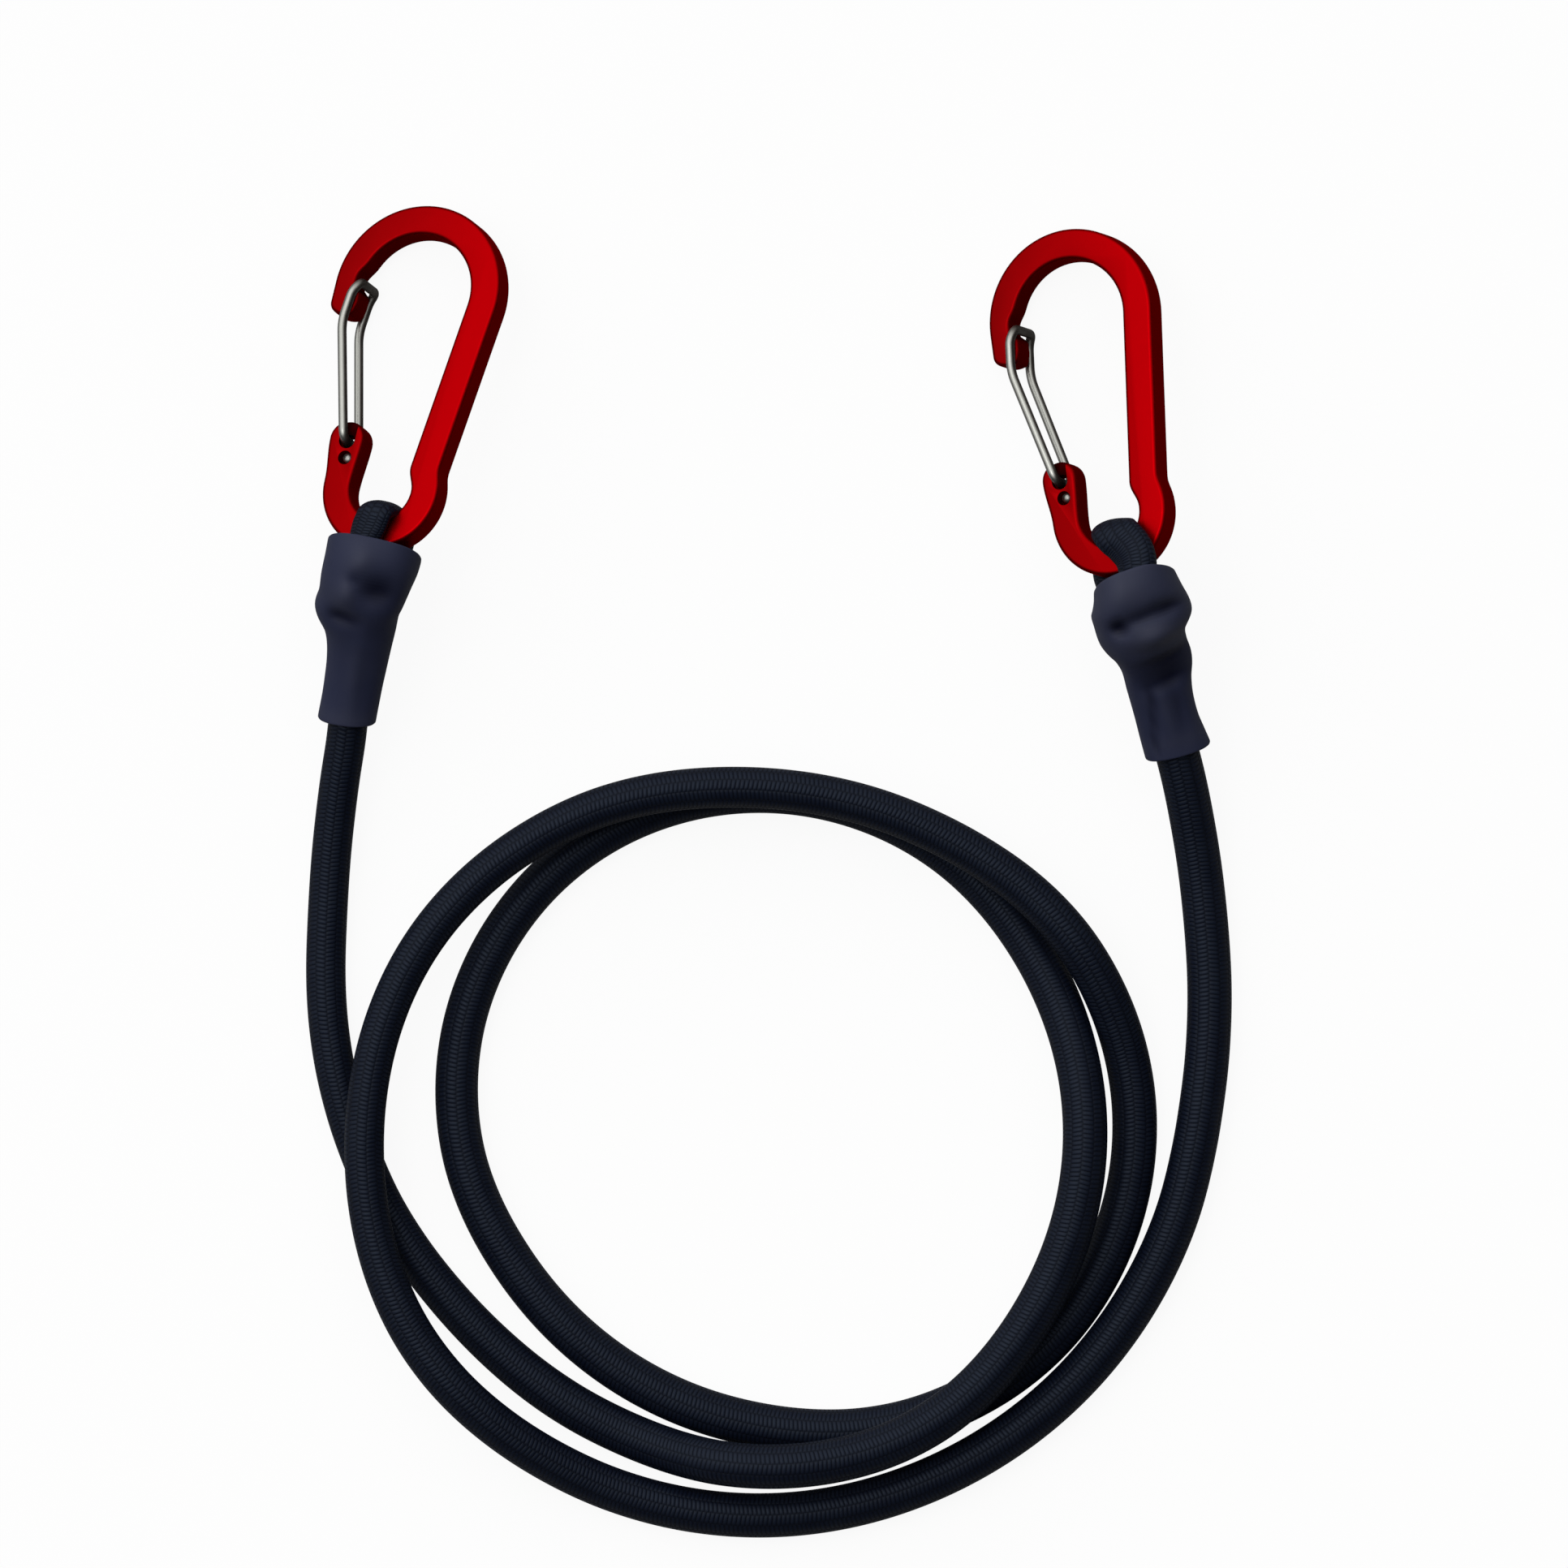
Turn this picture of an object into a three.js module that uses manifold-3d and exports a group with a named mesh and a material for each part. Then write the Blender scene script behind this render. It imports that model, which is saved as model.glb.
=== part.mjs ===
// Bungee cord with a small wire-gate carabiner at each end, laid on a table with its cord in a loose coil.
// Millimetres, +Z up. +X is to the right and +Y is away from the coil, towards the crowns of the hooks.
// Each hook has a frame of its own: u across it, v up its length and h through its thickness,
// counted from the middle of the round basket that sits in the eye of the cord.
import * as THREE from "three";
import { mergeVertices } from "three/addons/utils/BufferGeometryUtils.js";
import Module from "manifold-3d";

const wasm = await Module();
wasm.setup();

// Driving dimensions of the hook body, cut from flat aluminium bar
const barThickness = 3.5;
const edgeChamfer = 0.38;
const crownRadius = 11;
const crownWidth = 3.6;
const spineWidth = 3.95;
const noseRootWidth = 3.45;
const crownRise = 25;
const crownShift = 1.55;
const spineLeanDeg = 6.2;
const basketRadius = 7.7;
const basketWidth = 3.7;
const shoulderRise = 3.9;
const shoulderRound = 1.25;
const noseDrop = 2.7;
const noseTipRadius = 1.3;
const noseHook = 0.8;
const noseRootDeg = 155;
const lugRadius = 2.3;
const lugRise = 4.9;
const lugReach = 6;

// Driving dimensions of the wire gate and of its two offset holes in the lug
const wireDiameter = 0.9;
const holePitch = 2.2;
const holeSkew = 0.25;
const pivotInset = 0.28;
const pivotDrop = 0.75;
const gateOpenDeg = 28;
const holeClearance = 0.16;
const legClearance = 0.45;
const lugSlotDepth = 0.8;
const lugSlotWidth = 2.1;
const stubPast = 0.75;
const crankBelowNose = 1.25;
const loopAboveTip = 2.7;
const loopGap = 0.45;
const loopTuckShare = 0.86;
const wireBend = 0.75;
const bendReachShare = 0.45;

// Driving dimensions of the cord, its eyes, the crimp rings and the shrink sleeves
const cordDiameter = 5;
const eyeThickness = 3.5;
const eyeSwayShare = 1;
const mouthReachShare = 0.28;
const exitReachShare = 0.44;
const squeezedDiameter = 3.6;
const runningGap = 0.3;
const fitGap = 0.28;
const sleeveWall = 0.7;
const sleeveLip = 0.4;
const mouthTaper = 5.2;
const twistRun = 7;
const crimpWall = 0.4;
const crimpLength = 3.2;
const crimpStart = 4.8;
const crimpRamp = 2.4;
const tailLength = 9.2;
const tailTaper = 4.8;
const eyeEndInset = 2.5;
const flatDepth = 0.5;
const levelGap = 0.55;
const straightEnd = 2;

// How the hooks lie: rolled and pitched alike, each with its own yaw, place and sleeve end
const hookRollDeg = 24.5;
const hookPitchDeg = 11.7;
const ends = {
  left: {
    yawDeg: -13.5,
    basket: [-46, -1.1],
    eyeWidth: 4.4,
    eyeClearance: 0.5,
    neckEase: 0.3,
    tailFace: 1,
    tailU: -0.4,
    mainU: 1.9,
    tailWay: [-0.96, 0.1, 0.25],
    sleeveEnd: [-50.6, -29, 6.8],
    sleeveWay: [-0.09, -0.955, -0.28],
  },
  right: {
    yawDeg: 7.7,
    basket: [43, -4],
    eyeWidth: 4.8,
    eyeClearance: 0.65,
    neckEase: 0.9,
    tailFace: -1,
    tailU: -2.6,
    mainU: 4,
    tailWay: [-0.86, -0.2, -0.46],
    sleeveEnd: [50.7, -32.8, 6.8],
    sleeveWay: [0.25, -0.93, -0.28],
  },
};

// Route of the cord on the table: the coil's radii every 30 degrees, lap by lap, and how high it passes
const coilCentre = [-0.9, -80];
const coilFromDeg = 180;
const coilToDeg = 1080;
const stationStepDeg = 30;
const firstStationDeg = 150;
const coilRadii = [
  58.6, 49.1, 42.1, 39.75, 40.35, 41.2, 40.4, 40.45, 40.85, 42, 42.2, 41.2,
  39, 36.1, 33.3, 33.05, 35.3, 40, 44.45, 46.55, 45.95, 43.25, 42.7, 44.9,
  47.05, 47.75, 48.3, 46.85, 46.45, 47.4, 50.1, 54.1, 58.6,
];
const climbs = [
  { fromDeg: 246, toDeg: 272, up: true },
  { fromDeg: 352, toDeg: 406, up: false },
  { fromDeg: 726, toDeg: 754, up: true },
  { fromDeg: 935, toDeg: 975, up: false },
];
const leftStretch = [
  [-51.5, -35.3, 5],
  [-52.7, -45.2, 2.8],
  [-53.3, -55.2, 2.05],
  [-53.42, -60.3, 2],
  [-53.2, -65.2, 2],
  [-52.65, -69.6, 2],
  [-51.95, -73.3, 2],
];
const rightStretch = [
  [52.1, -38.6, 5],
  [53.5, -46.5, 2.8],
  [54.45, -55.2, 2.05],
  [54.8, -62.2, 2],
  [54.62, -68.6, 2],
  [54.22, -73.1, 2],
];

// How finely the round forms are cut
const arcSteps = 12;
const wireSides = 8;
const holeSides = 16;
const cordSides = 12;
const sleeveSides = 22;
const coilSteps = 96;
const sleeveRings = 16;
const crimpRings = 4;
const eyeSteps = 24;

// Worked out from the above
const halfBar = barThickness / 2;
const wireRadius = wireDiameter / 2;
const cordRadius = cordDiameter / 2;
const squeezedRadius = squeezedDiameter / 2;
const lowLevel = cordRadius - flatDepth;
const highLevel = lowLevel + cordDiameter + levelGap;
const basketInner = basketRadius - basketWidth;
const mouthV = -basketRadius - sleeveLip;
const radians = THREE.MathUtils.degToRad;
const point = (x, y, z = 0) => new THREE.Vector3(x, y, z);

// Materials
const redAnodised = { color: 0xbe0008, roughness: 0.3, metalness: 0.55 };
const springSteel = { color: 0xb9b7b0, roughness: 0.28, metalness: 1 };
const crimpSteel = { color: 0x9c9c98, roughness: 0.4, metalness: 1 };
const shrinkTube = { color: 0x262a3c, roughness: 0.48, metalness: 0 };
const braid = { color: 0x0d0f18, roughness: 0.75, metalness: 0 };

function named(name, geometry, finish) {
  const mesh = new THREE.Mesh(geometry, new THREE.MeshStandardMaterial(finish));
  mesh.name = name;
  return mesh;
}

// Geometry and manifold solids are turned into each other for the cuts
function toSolid(geometry) {
  const bare = geometry.clone();
  bare.deleteAttribute("normal");
  bare.deleteAttribute("uv");
  const merged = mergeVertices(bare, 1e-4);
  return new wasm.Manifold(
    new wasm.Mesh({
      numProp: 3,
      vertProperties: merged.attributes.position.array,
      triVerts: new Uint32Array(merged.index.array),
    }),
  );
}

function toGeometry(solid) {
  const cut = solid.getMesh();
  const geometry = new THREE.BufferGeometry();
  geometry.setAttribute("position", new THREE.BufferAttribute(cut.vertProperties, 3));
  geometry.setIndex(new THREE.BufferAttribute(cut.triVerts, 1));
  geometry.computeVertexNormals();
  return geometry;
}

// One closed skin over rings of points: capped at both ends, or joined end to end when it is hollow
function skin(rings, hollow = false) {
  const sides = rings[0].length;
  const positions = rings.flat().flatMap((p) => [p.x, p.y, p.z]);
  const faces = [];
  const last = hollow ? rings.length : rings.length - 1;
  for (let i = 0; i < last; i++) {
    const next = (i + 1) % rings.length;
    for (let k = 0; k < sides; k++) {
      const a = i * sides + k;
      const b = i * sides + ((k + 1) % sides);
      const c = next * sides + k;
      const d = next * sides + ((k + 1) % sides);
      faces.push(a, b, d, a, d, c);
    }
  }
  if (!hollow) {
    for (const end of [0, rings.length - 1]) {
      const middle = rings[end].reduce((sum, p) => sum.add(p), point(0, 0)).divideScalar(sides);
      const hub = positions.length / 3;
      positions.push(middle.x, middle.y, middle.z);
      for (let k = 0; k < sides; k++) {
        const a = end * sides + k;
        const b = end * sides + ((k + 1) % sides);
        if (end === 0) faces.push(hub, b, a);
        else faces.push(hub, a, b);
      }
    }
  }
  const geometry = new THREE.BufferGeometry();
  geometry.setAttribute("position", new THREE.Float32BufferAttribute(positions, 3));
  geometry.setIndex(facingOut(positions, faces));
  geometry.computeVertexNormals();
  return geometry;
}

function facingOut(positions, faces) {
  const corner = (i) => point(positions[3 * i], positions[3 * i + 1], positions[3 * i + 2]);
  let volume = 0;
  for (let f = 0; f < faces.length; f += 3) {
    volume += corner(faces[f]).dot(corner(faces[f + 1]).cross(corner(faces[f + 2])));
  }
  if (volume > 0) return faces;
  const turned = [];
  for (let f = 0; f < faces.length; f += 3) turned.push(faces[f], faces[f + 2], faces[f + 1]);
  return turned;
}

// Directions along a line of points, its side direction carried on with as little turn as possible
function framesAlong(points, firstSide) {
  let side = firstSide.clone();
  return points.map((at, i) => {
    const before = points[Math.max(i - 1, 0)];
    const after = points[Math.min(i + 1, points.length - 1)];
    const along = after.clone().sub(before).normalize();
    side = side.clone().addScaledVector(along, -side.dot(along)).normalize();
    return { at, along, side, over: along.clone().cross(side) };
  });
}

function ringRound(frame, halfSide, halfOver, sides) {
  const ring = [];
  for (let k = 0; k < sides; k++) {
    const angle = (2 * Math.PI * (k + 0.5)) / sides;
    const p = frame.at.clone();
    p.addScaledVector(frame.side, halfSide * Math.cos(angle));
    p.addScaledVector(frame.over, halfOver * Math.sin(angle));
    ring.push(p);
  }
  return ring;
}

// Replaces each inner corner of a bent wire by an arc-like curve of the given reach
function roundCorners(corners, reach, steps) {
  const line = [corners[0].clone()];
  for (let i = 1; i < corners.length - 1; i++) {
    const corner = corners[i];
    const back = corners[i - 1].clone().sub(corner);
    const ahead = corners[i + 1].clone().sub(corner);
    const cut = Math.min(reach, bendReachShare * Math.min(back.length(), ahead.length()));
    const start = corner.clone().addScaledVector(back.normalize(), cut);
    const end = corner.clone().addScaledVector(ahead.normalize(), cut);
    line.push(...new THREE.QuadraticBezierCurve3(start, corner, end).getPoints(steps));
  }
  line.push(corners.at(-1).clone());
  return line;
}

// Hook body: outline of crown, spine, basket, lug and nose
const crown = point(-crownShift, crownRise);
const crownInner = crownRadius - (spineWidth + noseRootWidth) / 2;
const crownEye = point(
  crown.x + (noseRootWidth - spineWidth) / 2,
  crown.y + (spineWidth + noseRootWidth) / 2 - crownWidth,
);
const lean = radians(spineLeanDeg);
const lug = point(-lugReach, lugRise);
const noseEnd = point(crown.x - crownRadius + noseTipRadius, crown.y - noseDrop);
const noseInnerU = noseEnd.x + noseTipRadius;
const upperHole = point(lug.x + pivotInset - holeSkew / 2, lug.y - pivotDrop + holePitch / 2);
const lowerHole = point(lug.x + pivotInset + holeSkew / 2, lug.y - pivotDrop - holePitch / 2);
const gatePivot = upperHole.clone().add(lowerHole).divideScalar(2);
const stubTravel = (upperHole.distanceTo(lowerHole) / 2) * 2 * Math.sin(radians(gateOpenDeg) / 2);
const holeRadius = wireRadius + stubTravel / 2 + holeClearance;

function atAngle(centre, radius, angle) {
  return point(centre.x + radius * Math.cos(angle), centre.y + radius * Math.sin(angle));
}

// A smooth join from one straight or round stretch of the outline to the next
function join(shape, from, fromDirection, to, toDirection, reach) {
  const first = from.clone().addScaledVector(fromDirection, reach);
  const second = to.clone().addScaledVector(toDirection, -reach);
  shape.bezierCurveTo(first.x, first.y, second.x, second.y, to.x, to.y);
}

function hookOutline() {
  const shape = new THREE.Shape();
  const down = point(-Math.sin(lean), -Math.cos(lean));
  const up = down.clone().negate();
  const spineOuterTop = atAngle(crown, crownRadius, -lean);
  const spineInnerTop = atAngle(crownEye, crownInner, -lean);
  const outerRun = (spineOuterTop.y - shoulderRise) / Math.cos(lean);
  const innerRun = (spineInnerTop.y - shoulderRise + shoulderRound / 2) / Math.cos(lean);
  const shoulderOuter = spineOuterTop.clone().addScaledVector(down, outerRun);
  const shoulderInner = spineInnerTop.clone().addScaledVector(down, innerRun);
  const origin = point(0, 0);
  const basketStart = Math.asin(shoulderRound / basketRadius);
  const basketOuter = atAngle(origin, basketRadius, basketStart);
  const intoBasket = point(Math.sin(basketStart), -Math.cos(basketStart));
  const straightUp = point(0, 1);
  const noseRoot = radians(noseRootDeg);
  const noseRootPoint = atAngle(crownEye, crownInner, noseRoot);
  const intoNose = point(-Math.sin(noseRoot), Math.cos(noseRoot));
  const noseInner = point(noseInnerU + noseHook / 4, noseEnd.y + 2 * noseHook);

  shape.moveTo(noseEnd.x - noseTipRadius, noseEnd.y);
  shape.lineTo(crown.x - crownRadius, crown.y);
  shape.absarc(crown.x, crown.y, crownRadius, Math.PI, -lean, true);
  shape.lineTo(shoulderOuter.x, shoulderOuter.y);
  join(shape, shoulderOuter, down, basketOuter, intoBasket, shoulderRound);
  shape.absarc(0, 0, basketRadius, basketStart, -Math.PI, true);
  join(shape, point(-basketRadius, 0), straightUp, point(lug.x - lugRadius, lug.y), straightUp, lugRise / 3);
  shape.absarc(lug.x, lug.y, lugRadius, Math.PI, 0, true);
  const straightDown = point(0, -1);
  join(shape, point(lug.x + lugRadius, lug.y), straightDown, point(-basketInner, 0), straightDown, lugRise / 3);
  shape.absarc(0, 0, basketInner, Math.PI, 2 * Math.PI, false);
  join(shape, point(basketInner, 0), straightUp, shoulderInner, up, shoulderRound);
  shape.lineTo(spineInnerTop.x, spineInnerTop.y);
  shape.absarc(crownEye.x, crownEye.y, crownInner, -lean, noseRoot, false);
  join(shape, noseRootPoint, intoNose, noseInner, straightDown, 2 * noseHook);
  shape.lineTo(noseInnerU, noseEnd.y);
  shape.absarc(noseEnd.x, noseEnd.y, noseTipRadius, 0, -Math.PI, true);
  return shape;
}

// A slot in one face of the lug, open at its top, lets a leg of the gate lie down into its hole
function lugSlot(hole, face) {
  const slot = new THREE.Shape();
  const half = lugSlotWidth / 2;
  const open = lug.y + lugRadius + lugSlotWidth;
  slot.moveTo(hole.x - half, hole.y);
  slot.absarc(hole.x, hole.y, half, -Math.PI, 0, false);
  slot.lineTo(hole.x + half, open);
  slot.lineTo(hole.x - half, open);
  const depth = lugSlotDepth + barThickness;
  const cutter = new THREE.ExtrudeGeometry(slot, { depth, bevelEnabled: false, curveSegments: arcSteps });
  return cutter.translate(0, 0, face > 0 ? halfBar - lugSlotDepth : -halfBar + lugSlotDepth - depth);
}

function lugHole(hole) {
  const pin = new THREE.CylinderGeometry(holeRadius, holeRadius, 2 * barThickness, holeSides);
  return pin.rotateX(Math.PI / 2).translate(hole.x, hole.y, 0);
}

function hookBody(name) {
  const plate = new THREE.ExtrudeGeometry(hookOutline(), {
    depth: barThickness - 2 * edgeChamfer,
    bevelThickness: edgeChamfer,
    bevelSize: edgeChamfer,
    bevelOffset: -edgeChamfer,
    bevelSegments: 1,
    curveSegments: arcSteps,
  });
  plate.translate(0, 0, edgeChamfer - halfBar);
  const cut = toSolid(plate)
    .subtract(toSolid(lugSlot(upperHole, 1)))
    .subtract(toSolid(lugSlot(lowerHole, -1)))
    .subtract(toSolid(lugHole(upperHole)))
    .subtract(toSolid(lugHole(lowerHole)));
  return named(name, toGeometry(cut), redAnodised);
}

// Wire gate: two legs from the offset holes, cranked near the nose and joined by a loop inside it
function gateWire(name) {
  const legAtNose = halfBar + legClearance + wireRadius;
  const legAtLug = halfBar - lugSlotDepth + fitGap + wireRadius + legClearance;
  const crank = point(noseInnerU + holeSkew / 2, noseEnd.y - noseTipRadius - crankBelowNose);
  const rise = point(noseInnerU + 2 * holeSkew, noseEnd.y + loopAboveTip / 2);
  const loopU = noseInnerU + noseHook / 4 + loopGap + wireRadius;
  const loopV = noseEnd.y + loopAboveTip;
  const axisLine = upperHole.clone().sub(lowerHole).normalize();
  const across = point(-axisLine.y, axisLine.x);
  const half = [];
  for (const face of [1, -1]) {
    const hole = face > 0 ? upperHole : lowerHole;
    const stub = hole.clone().addScaledVector(across, (face * stubTravel) / 2);
    half.push([
      point(stub.x, stub.y, -face * stubPast),
      point(stub.x, stub.y, face * legAtLug),
      point(crank.x, crank.y, face * legAtNose),
      point(rise.x, rise.y, face * legAtNose),
      point(loopU, loopV, face * legAtNose * loopTuckShare),
    ]);
  }
  const corners = [...half[0], ...half[1].reverse()];
  const line = roundCorners(corners, wireBend, 4);
  const frames = framesAlong(line, point(1, 0));
  const rings = frames.map((frame) => ringRound(frame, wireRadius, wireRadius, wireSides));
  return named(name, skin(rings), springSteel);
}

// One end of the cord: hook, gate, eye, crimp ring and sleeve
const smooth = (t) => t * t * (3 - 2 * t);
const part = (value, from, to) => smooth(THREE.MathUtils.clamp((value - from) / (to - from), 0, 1));
const squareTo = (way, along) => way.clone().addScaledVector(along, -way.dot(along)).normalize();

function buildEnd(side, place) {
  const hook = new THREE.Group();
  hook.rotation.set(radians(-hookPitchDeg), radians(-hookRollDeg), radians(place.yawDeg), "ZXY");
  hook.add(hookBody(`${side}_hook_body`), gateWire(`${side}_gate_wire`));
  hook.updateMatrixWorld(true);
  const lowest = new THREE.Box3().setFromObject(hook, true).min.z;
  hook.position.set(place.basket[0], place.basket[1], -lowest);
  hook.updateMatrixWorld(true);
  const toTable = (u, v, h) => point(u, v, h).applyMatrix4(hook.matrixWorld);
  const direction = (u, v, h) => point(u, v, h).transformDirection(hook.matrixWorld);

  // The sleeve's axis leaves the middle of the mouth, square to the bar, and ends round the cord alone
  const bend = place.eyeClearance + eyeThickness / 2;
  const strandH = halfBar + bend;
  const exit = point(...place.sleeveEnd);
  const exitWay = point(...place.sleeveWay).normalize();
  const tailMouth = toTable(place.tailU, mouthV, place.tailFace * strandH);
  const mainMouth = toTable(place.mainU, mouthV, -place.tailFace * strandH);
  const mouth = tailMouth.clone().add(mainMouth).divideScalar(2);
  const reach = exit.distanceTo(mouth);
  const axis = new THREE.CubicBezierCurve3(
    mouth,
    mouth.clone().addScaledVector(direction(0, -1, 0), reach * mouthReachShare),
    exit.clone().addScaledVector(exitWay, -reach * exitReachShare),
    exit,
  );
  const length = axis.getLength();

  // Two strands lie beside the axis until the tail ends; then the main one comes to the middle
  const widest = tailMouth.distanceTo(mouth);
  const closed = squeezedRadius + runningGap / 2;
  const tailFrom = tailMouth.clone().sub(mouth).normalize();
  const tailTo = point(...place.tailWay).normalize();
  const station = (down) => {
    const along = axis.getTangentAt(down / length);
    const alone = part(down, tailLength + runningGap, tailLength + tailTaper);
    const spread = THREE.MathUtils.lerp(widest, closed, part(down, 0, mouthTaper)) * (1 - alone);
    const way = squareTo(tailFrom.clone().lerp(tailTo, part(down, 0, twistRun)), along);
    const radius = THREE.MathUtils.lerp(squeezedRadius, cordRadius, alone);
    return { at: axis.getPointAt(down / length), along, down, way, spread, radius };
  };
  const strand = (down, sign) => {
    const s = station(down);
    return s.at.addScaledVector(s.way, sign * s.spread);
  };
  const crimpEnd = crimpStart + crimpLength;
  const downs = [crimpStart - fitGap, crimpEnd + fitGap];
  for (let i = 0; i <= sleeveRings; i++) downs.push((length * i) / sleeveRings);
  downs.sort((a, b) => a - b);

  // The eye runs from the cut end of the tail up one face of the bar, over it, and down the other
  const rings = [];
  const addRing = (at, along, wide, thick) => {
    const across = squareTo(direction(1, 0, 0), along);
    rings.push(ringRound({ at, side: across, over: along.clone().cross(across) }, wide / 2, thick / 2, cordSides));
  };
  const small = runningGap / 2;
  const tailDowns = downs.filter((down) => down > 0 && down < tailLength - small);
  for (const down of [tailLength, ...tailDowns.reverse()]) {
    const along = strand(down - small, 1).sub(strand(down, 1)).normalize();
    addRing(strand(down, 1), along, squeezedDiameter, squeezedDiameter);
  }
  const corner = (Math.PI / 2) * bend;
  const half = halfBar + corner - basketInner - mouthV;
  const overBar = (share) => {
    const run = half * (1 - 2 * share);
    const onTop = Math.min(Math.abs(run), halfBar);
    const angle = THREE.MathUtils.clamp((Math.abs(run) - halfBar) / bend, 0, Math.PI / 2);
    const down = Math.max(Math.abs(run) - halfBar - corner, 0);
    const sway = share - (eyeSwayShare * Math.sin(4 * Math.PI * share)) / (4 * Math.PI);
    const u = THREE.MathUtils.lerp(place.tailU, place.mainU, sway);
    const h = place.tailFace * Math.sign(run) * (onTop + bend * Math.sin(angle));
    return toTable(u, bend * Math.cos(angle) - basketInner - down, h);
  };
  for (let i = 0; i <= eyeSteps; i++) {
    const share = i / eyeSteps;
    const nudge = 1 / (4 * eyeSteps);
    const along = overBar(Math.min(share + nudge, 1)).sub(overBar(Math.max(share - nudge, 0))).normalize();
    const press = Math.min(1, 2 * Math.sin(Math.PI * share));
    const wide = THREE.MathUtils.lerp(squeezedDiameter, place.eyeWidth, press);
    const thick = THREE.MathUtils.lerp(squeezedDiameter, eyeThickness, press);
    addRing(overBar(share), along, wide, thick);
  }
  const eyeEnd = length - eyeEndInset;
  for (const down of [...downs.filter((one) => one > 0 && one < eyeEnd - small), eyeEnd]) {
    const along = strand(down, -1).sub(strand(down - small, -1)).normalize();
    addRing(strand(down, -1), along, 2 * station(down).radius, 2 * station(down).radius);
  }
  const eye = named(`${side}_cord_eye`, skin(rings), braid);

  // Sleeve and crimp ring: oval rings round both strands, closing to a circle round one
  const ovalRing = (down, room) => {
    const s = station(down);
    const runs = [1, -1].map((sign) => {
      const run = strand(Math.min(down + small, length), sign).sub(strand(Math.max(down - small, 0), sign));
      return run.divideScalar(run.dot(s.along));
    });
    const across = squareTo(direction(1, 0, 0), s.along);
    const over = s.along.clone().cross(across);
    const turn = Math.atan2(s.way.dot(over), s.way.dot(across));
    const outward = Math.max(...runs.map((run) => Math.abs(run.dot(s.way))));
    const sideways = Math.max(...runs.map((run) => Math.abs(run.dot(s.along.clone().cross(s.way)))));
    const ease = room + place.neckEase * (1 - part(down, mouthTaper, tailLength));
    const wide = s.spread + s.radius * Math.hypot(1, outward) + ease;
    const narrow = Math.sqrt(wide * (s.radius * Math.hypot(1, sideways) + ease));
    const ring = [];
    for (let k = 0; k < sleeveSides; k++) {
      const angle = (2 * Math.PI * (k + 0.5)) / sleeveSides;
      const away = (wide * narrow) / Math.hypot(narrow * Math.cos(angle - turn), wide * Math.sin(angle - turn));
      const p = s.at.clone().addScaledVector(across, away * Math.cos(angle));
      ring.push(p.addScaledVector(over, away * Math.sin(angle)));
    }
    return ring;
  };
  const overCrimp = (down) =>
    part(down, crimpStart - crimpRamp, crimpStart - fitGap) * (1 - part(down, crimpEnd + fitGap, crimpEnd + crimpRamp));
  const bore = (down) => fitGap + overCrimp(down) * (crimpWall + fitGap);
  const outer = downs.map((down) => ovalRing(down, bore(down) + sleeveWall));
  const inner = downs.map((down) => ovalRing(down, bore(down)));
  const sleeve = named(`${side}_sleeve`, skin([...outer, ...inner.reverse()], true), shrinkTube);
  const crimpDowns = [];
  for (let i = 0; i <= crimpRings; i++) crimpDowns.push(crimpStart + (crimpLength * i) / crimpRings);
  const ringOut = crimpDowns.map((down) => ovalRing(down, fitGap + crimpWall));
  const ringIn = crimpDowns.map((down) => ovalRing(down, fitGap));
  const crimp = named(`${side}_crimp_ring`, skin([...ringOut, ...ringIn.reverse()], true), crimpSteel);

  const cordStart = axis.getPointAt((eyeEnd + runningGap) / length);
  return { rigid: [hook, eye, crimp, sleeve], cordStart, exit, exitWay, toTable, direction };
}

// The coil: a loop walks the angle, with the radius and the height taken from the stations
function coilRadius(angleDeg) {
  const place = (angleDeg - firstStationDeg) / stationStepDeg;
  const i = THREE.MathUtils.clamp(Math.floor(place), 1, coilRadii.length - 3);
  const t = place - i;
  const [a, b, c, d] = coilRadii.slice(i - 1, i + 3);
  return b + 0.5 * t * (c - a + t * (2 * a - 5 * b + 4 * c - d + t * (3 * (b - c) + d - a)));
}

function coilHeight(angleDeg) {
  let share = 0;
  for (const climb of climbs) {
    const done = part(angleDeg, climb.fromDeg, climb.toDeg);
    share += climb.up ? done : -done;
  }
  return THREE.MathUtils.lerp(lowLevel, highLevel, share);
}

function coilPoint(angleDeg) {
  const at = atAngle(point(...coilCentre), coilRadius(angleDeg), radians(angleDeg));
  at.z = coilHeight(angleDeg);
  return at;
}

function coilLine() {
  const line = [];
  for (let i = 0; i <= coilSteps; i++) {
    line.push(coilPoint(coilFromDeg + ((coilToDeg - coilFromDeg) * i) / coilSteps));
  }
  const nudge = 1 / coilSteps;
  const first = coilPoint(coilFromDeg).sub(coilPoint(coilFromDeg + nudge)).normalize();
  const last = coilPoint(coilToDeg).sub(coilPoint(coilToDeg - nudge)).normalize();
  line.unshift(line[0].clone().addScaledVector(first, straightEnd));
  line.push(line.at(-1).clone().addScaledVector(last, straightEnd));
  return { line, first, last };
}

// The cord lies on the table, so its underside is pressed flat there
function laidFlat(geometry) {
  const place = geometry.attributes.position;
  for (let i = 0; i < place.count; i++) place.setZ(i, Math.max(place.getZ(i), 0));
  geometry.computeVertexNormals();
  return geometry;
}

function coil(line) {
  const frames = framesAlong(line, point(0, 0, 1));
  const rings = frames.map((frame) => {
    const level = point(0, 0, 1).addScaledVector(frame.along, -frame.along.z).normalize();
    const flat = { at: frame.at, side: level, over: frame.along.clone().cross(level) };
    return ringRound(flat, cordRadius, cordRadius, cordSides);
  });
  return named("cord_coil", laidFlat(skin(rings)), braid);
}

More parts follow.
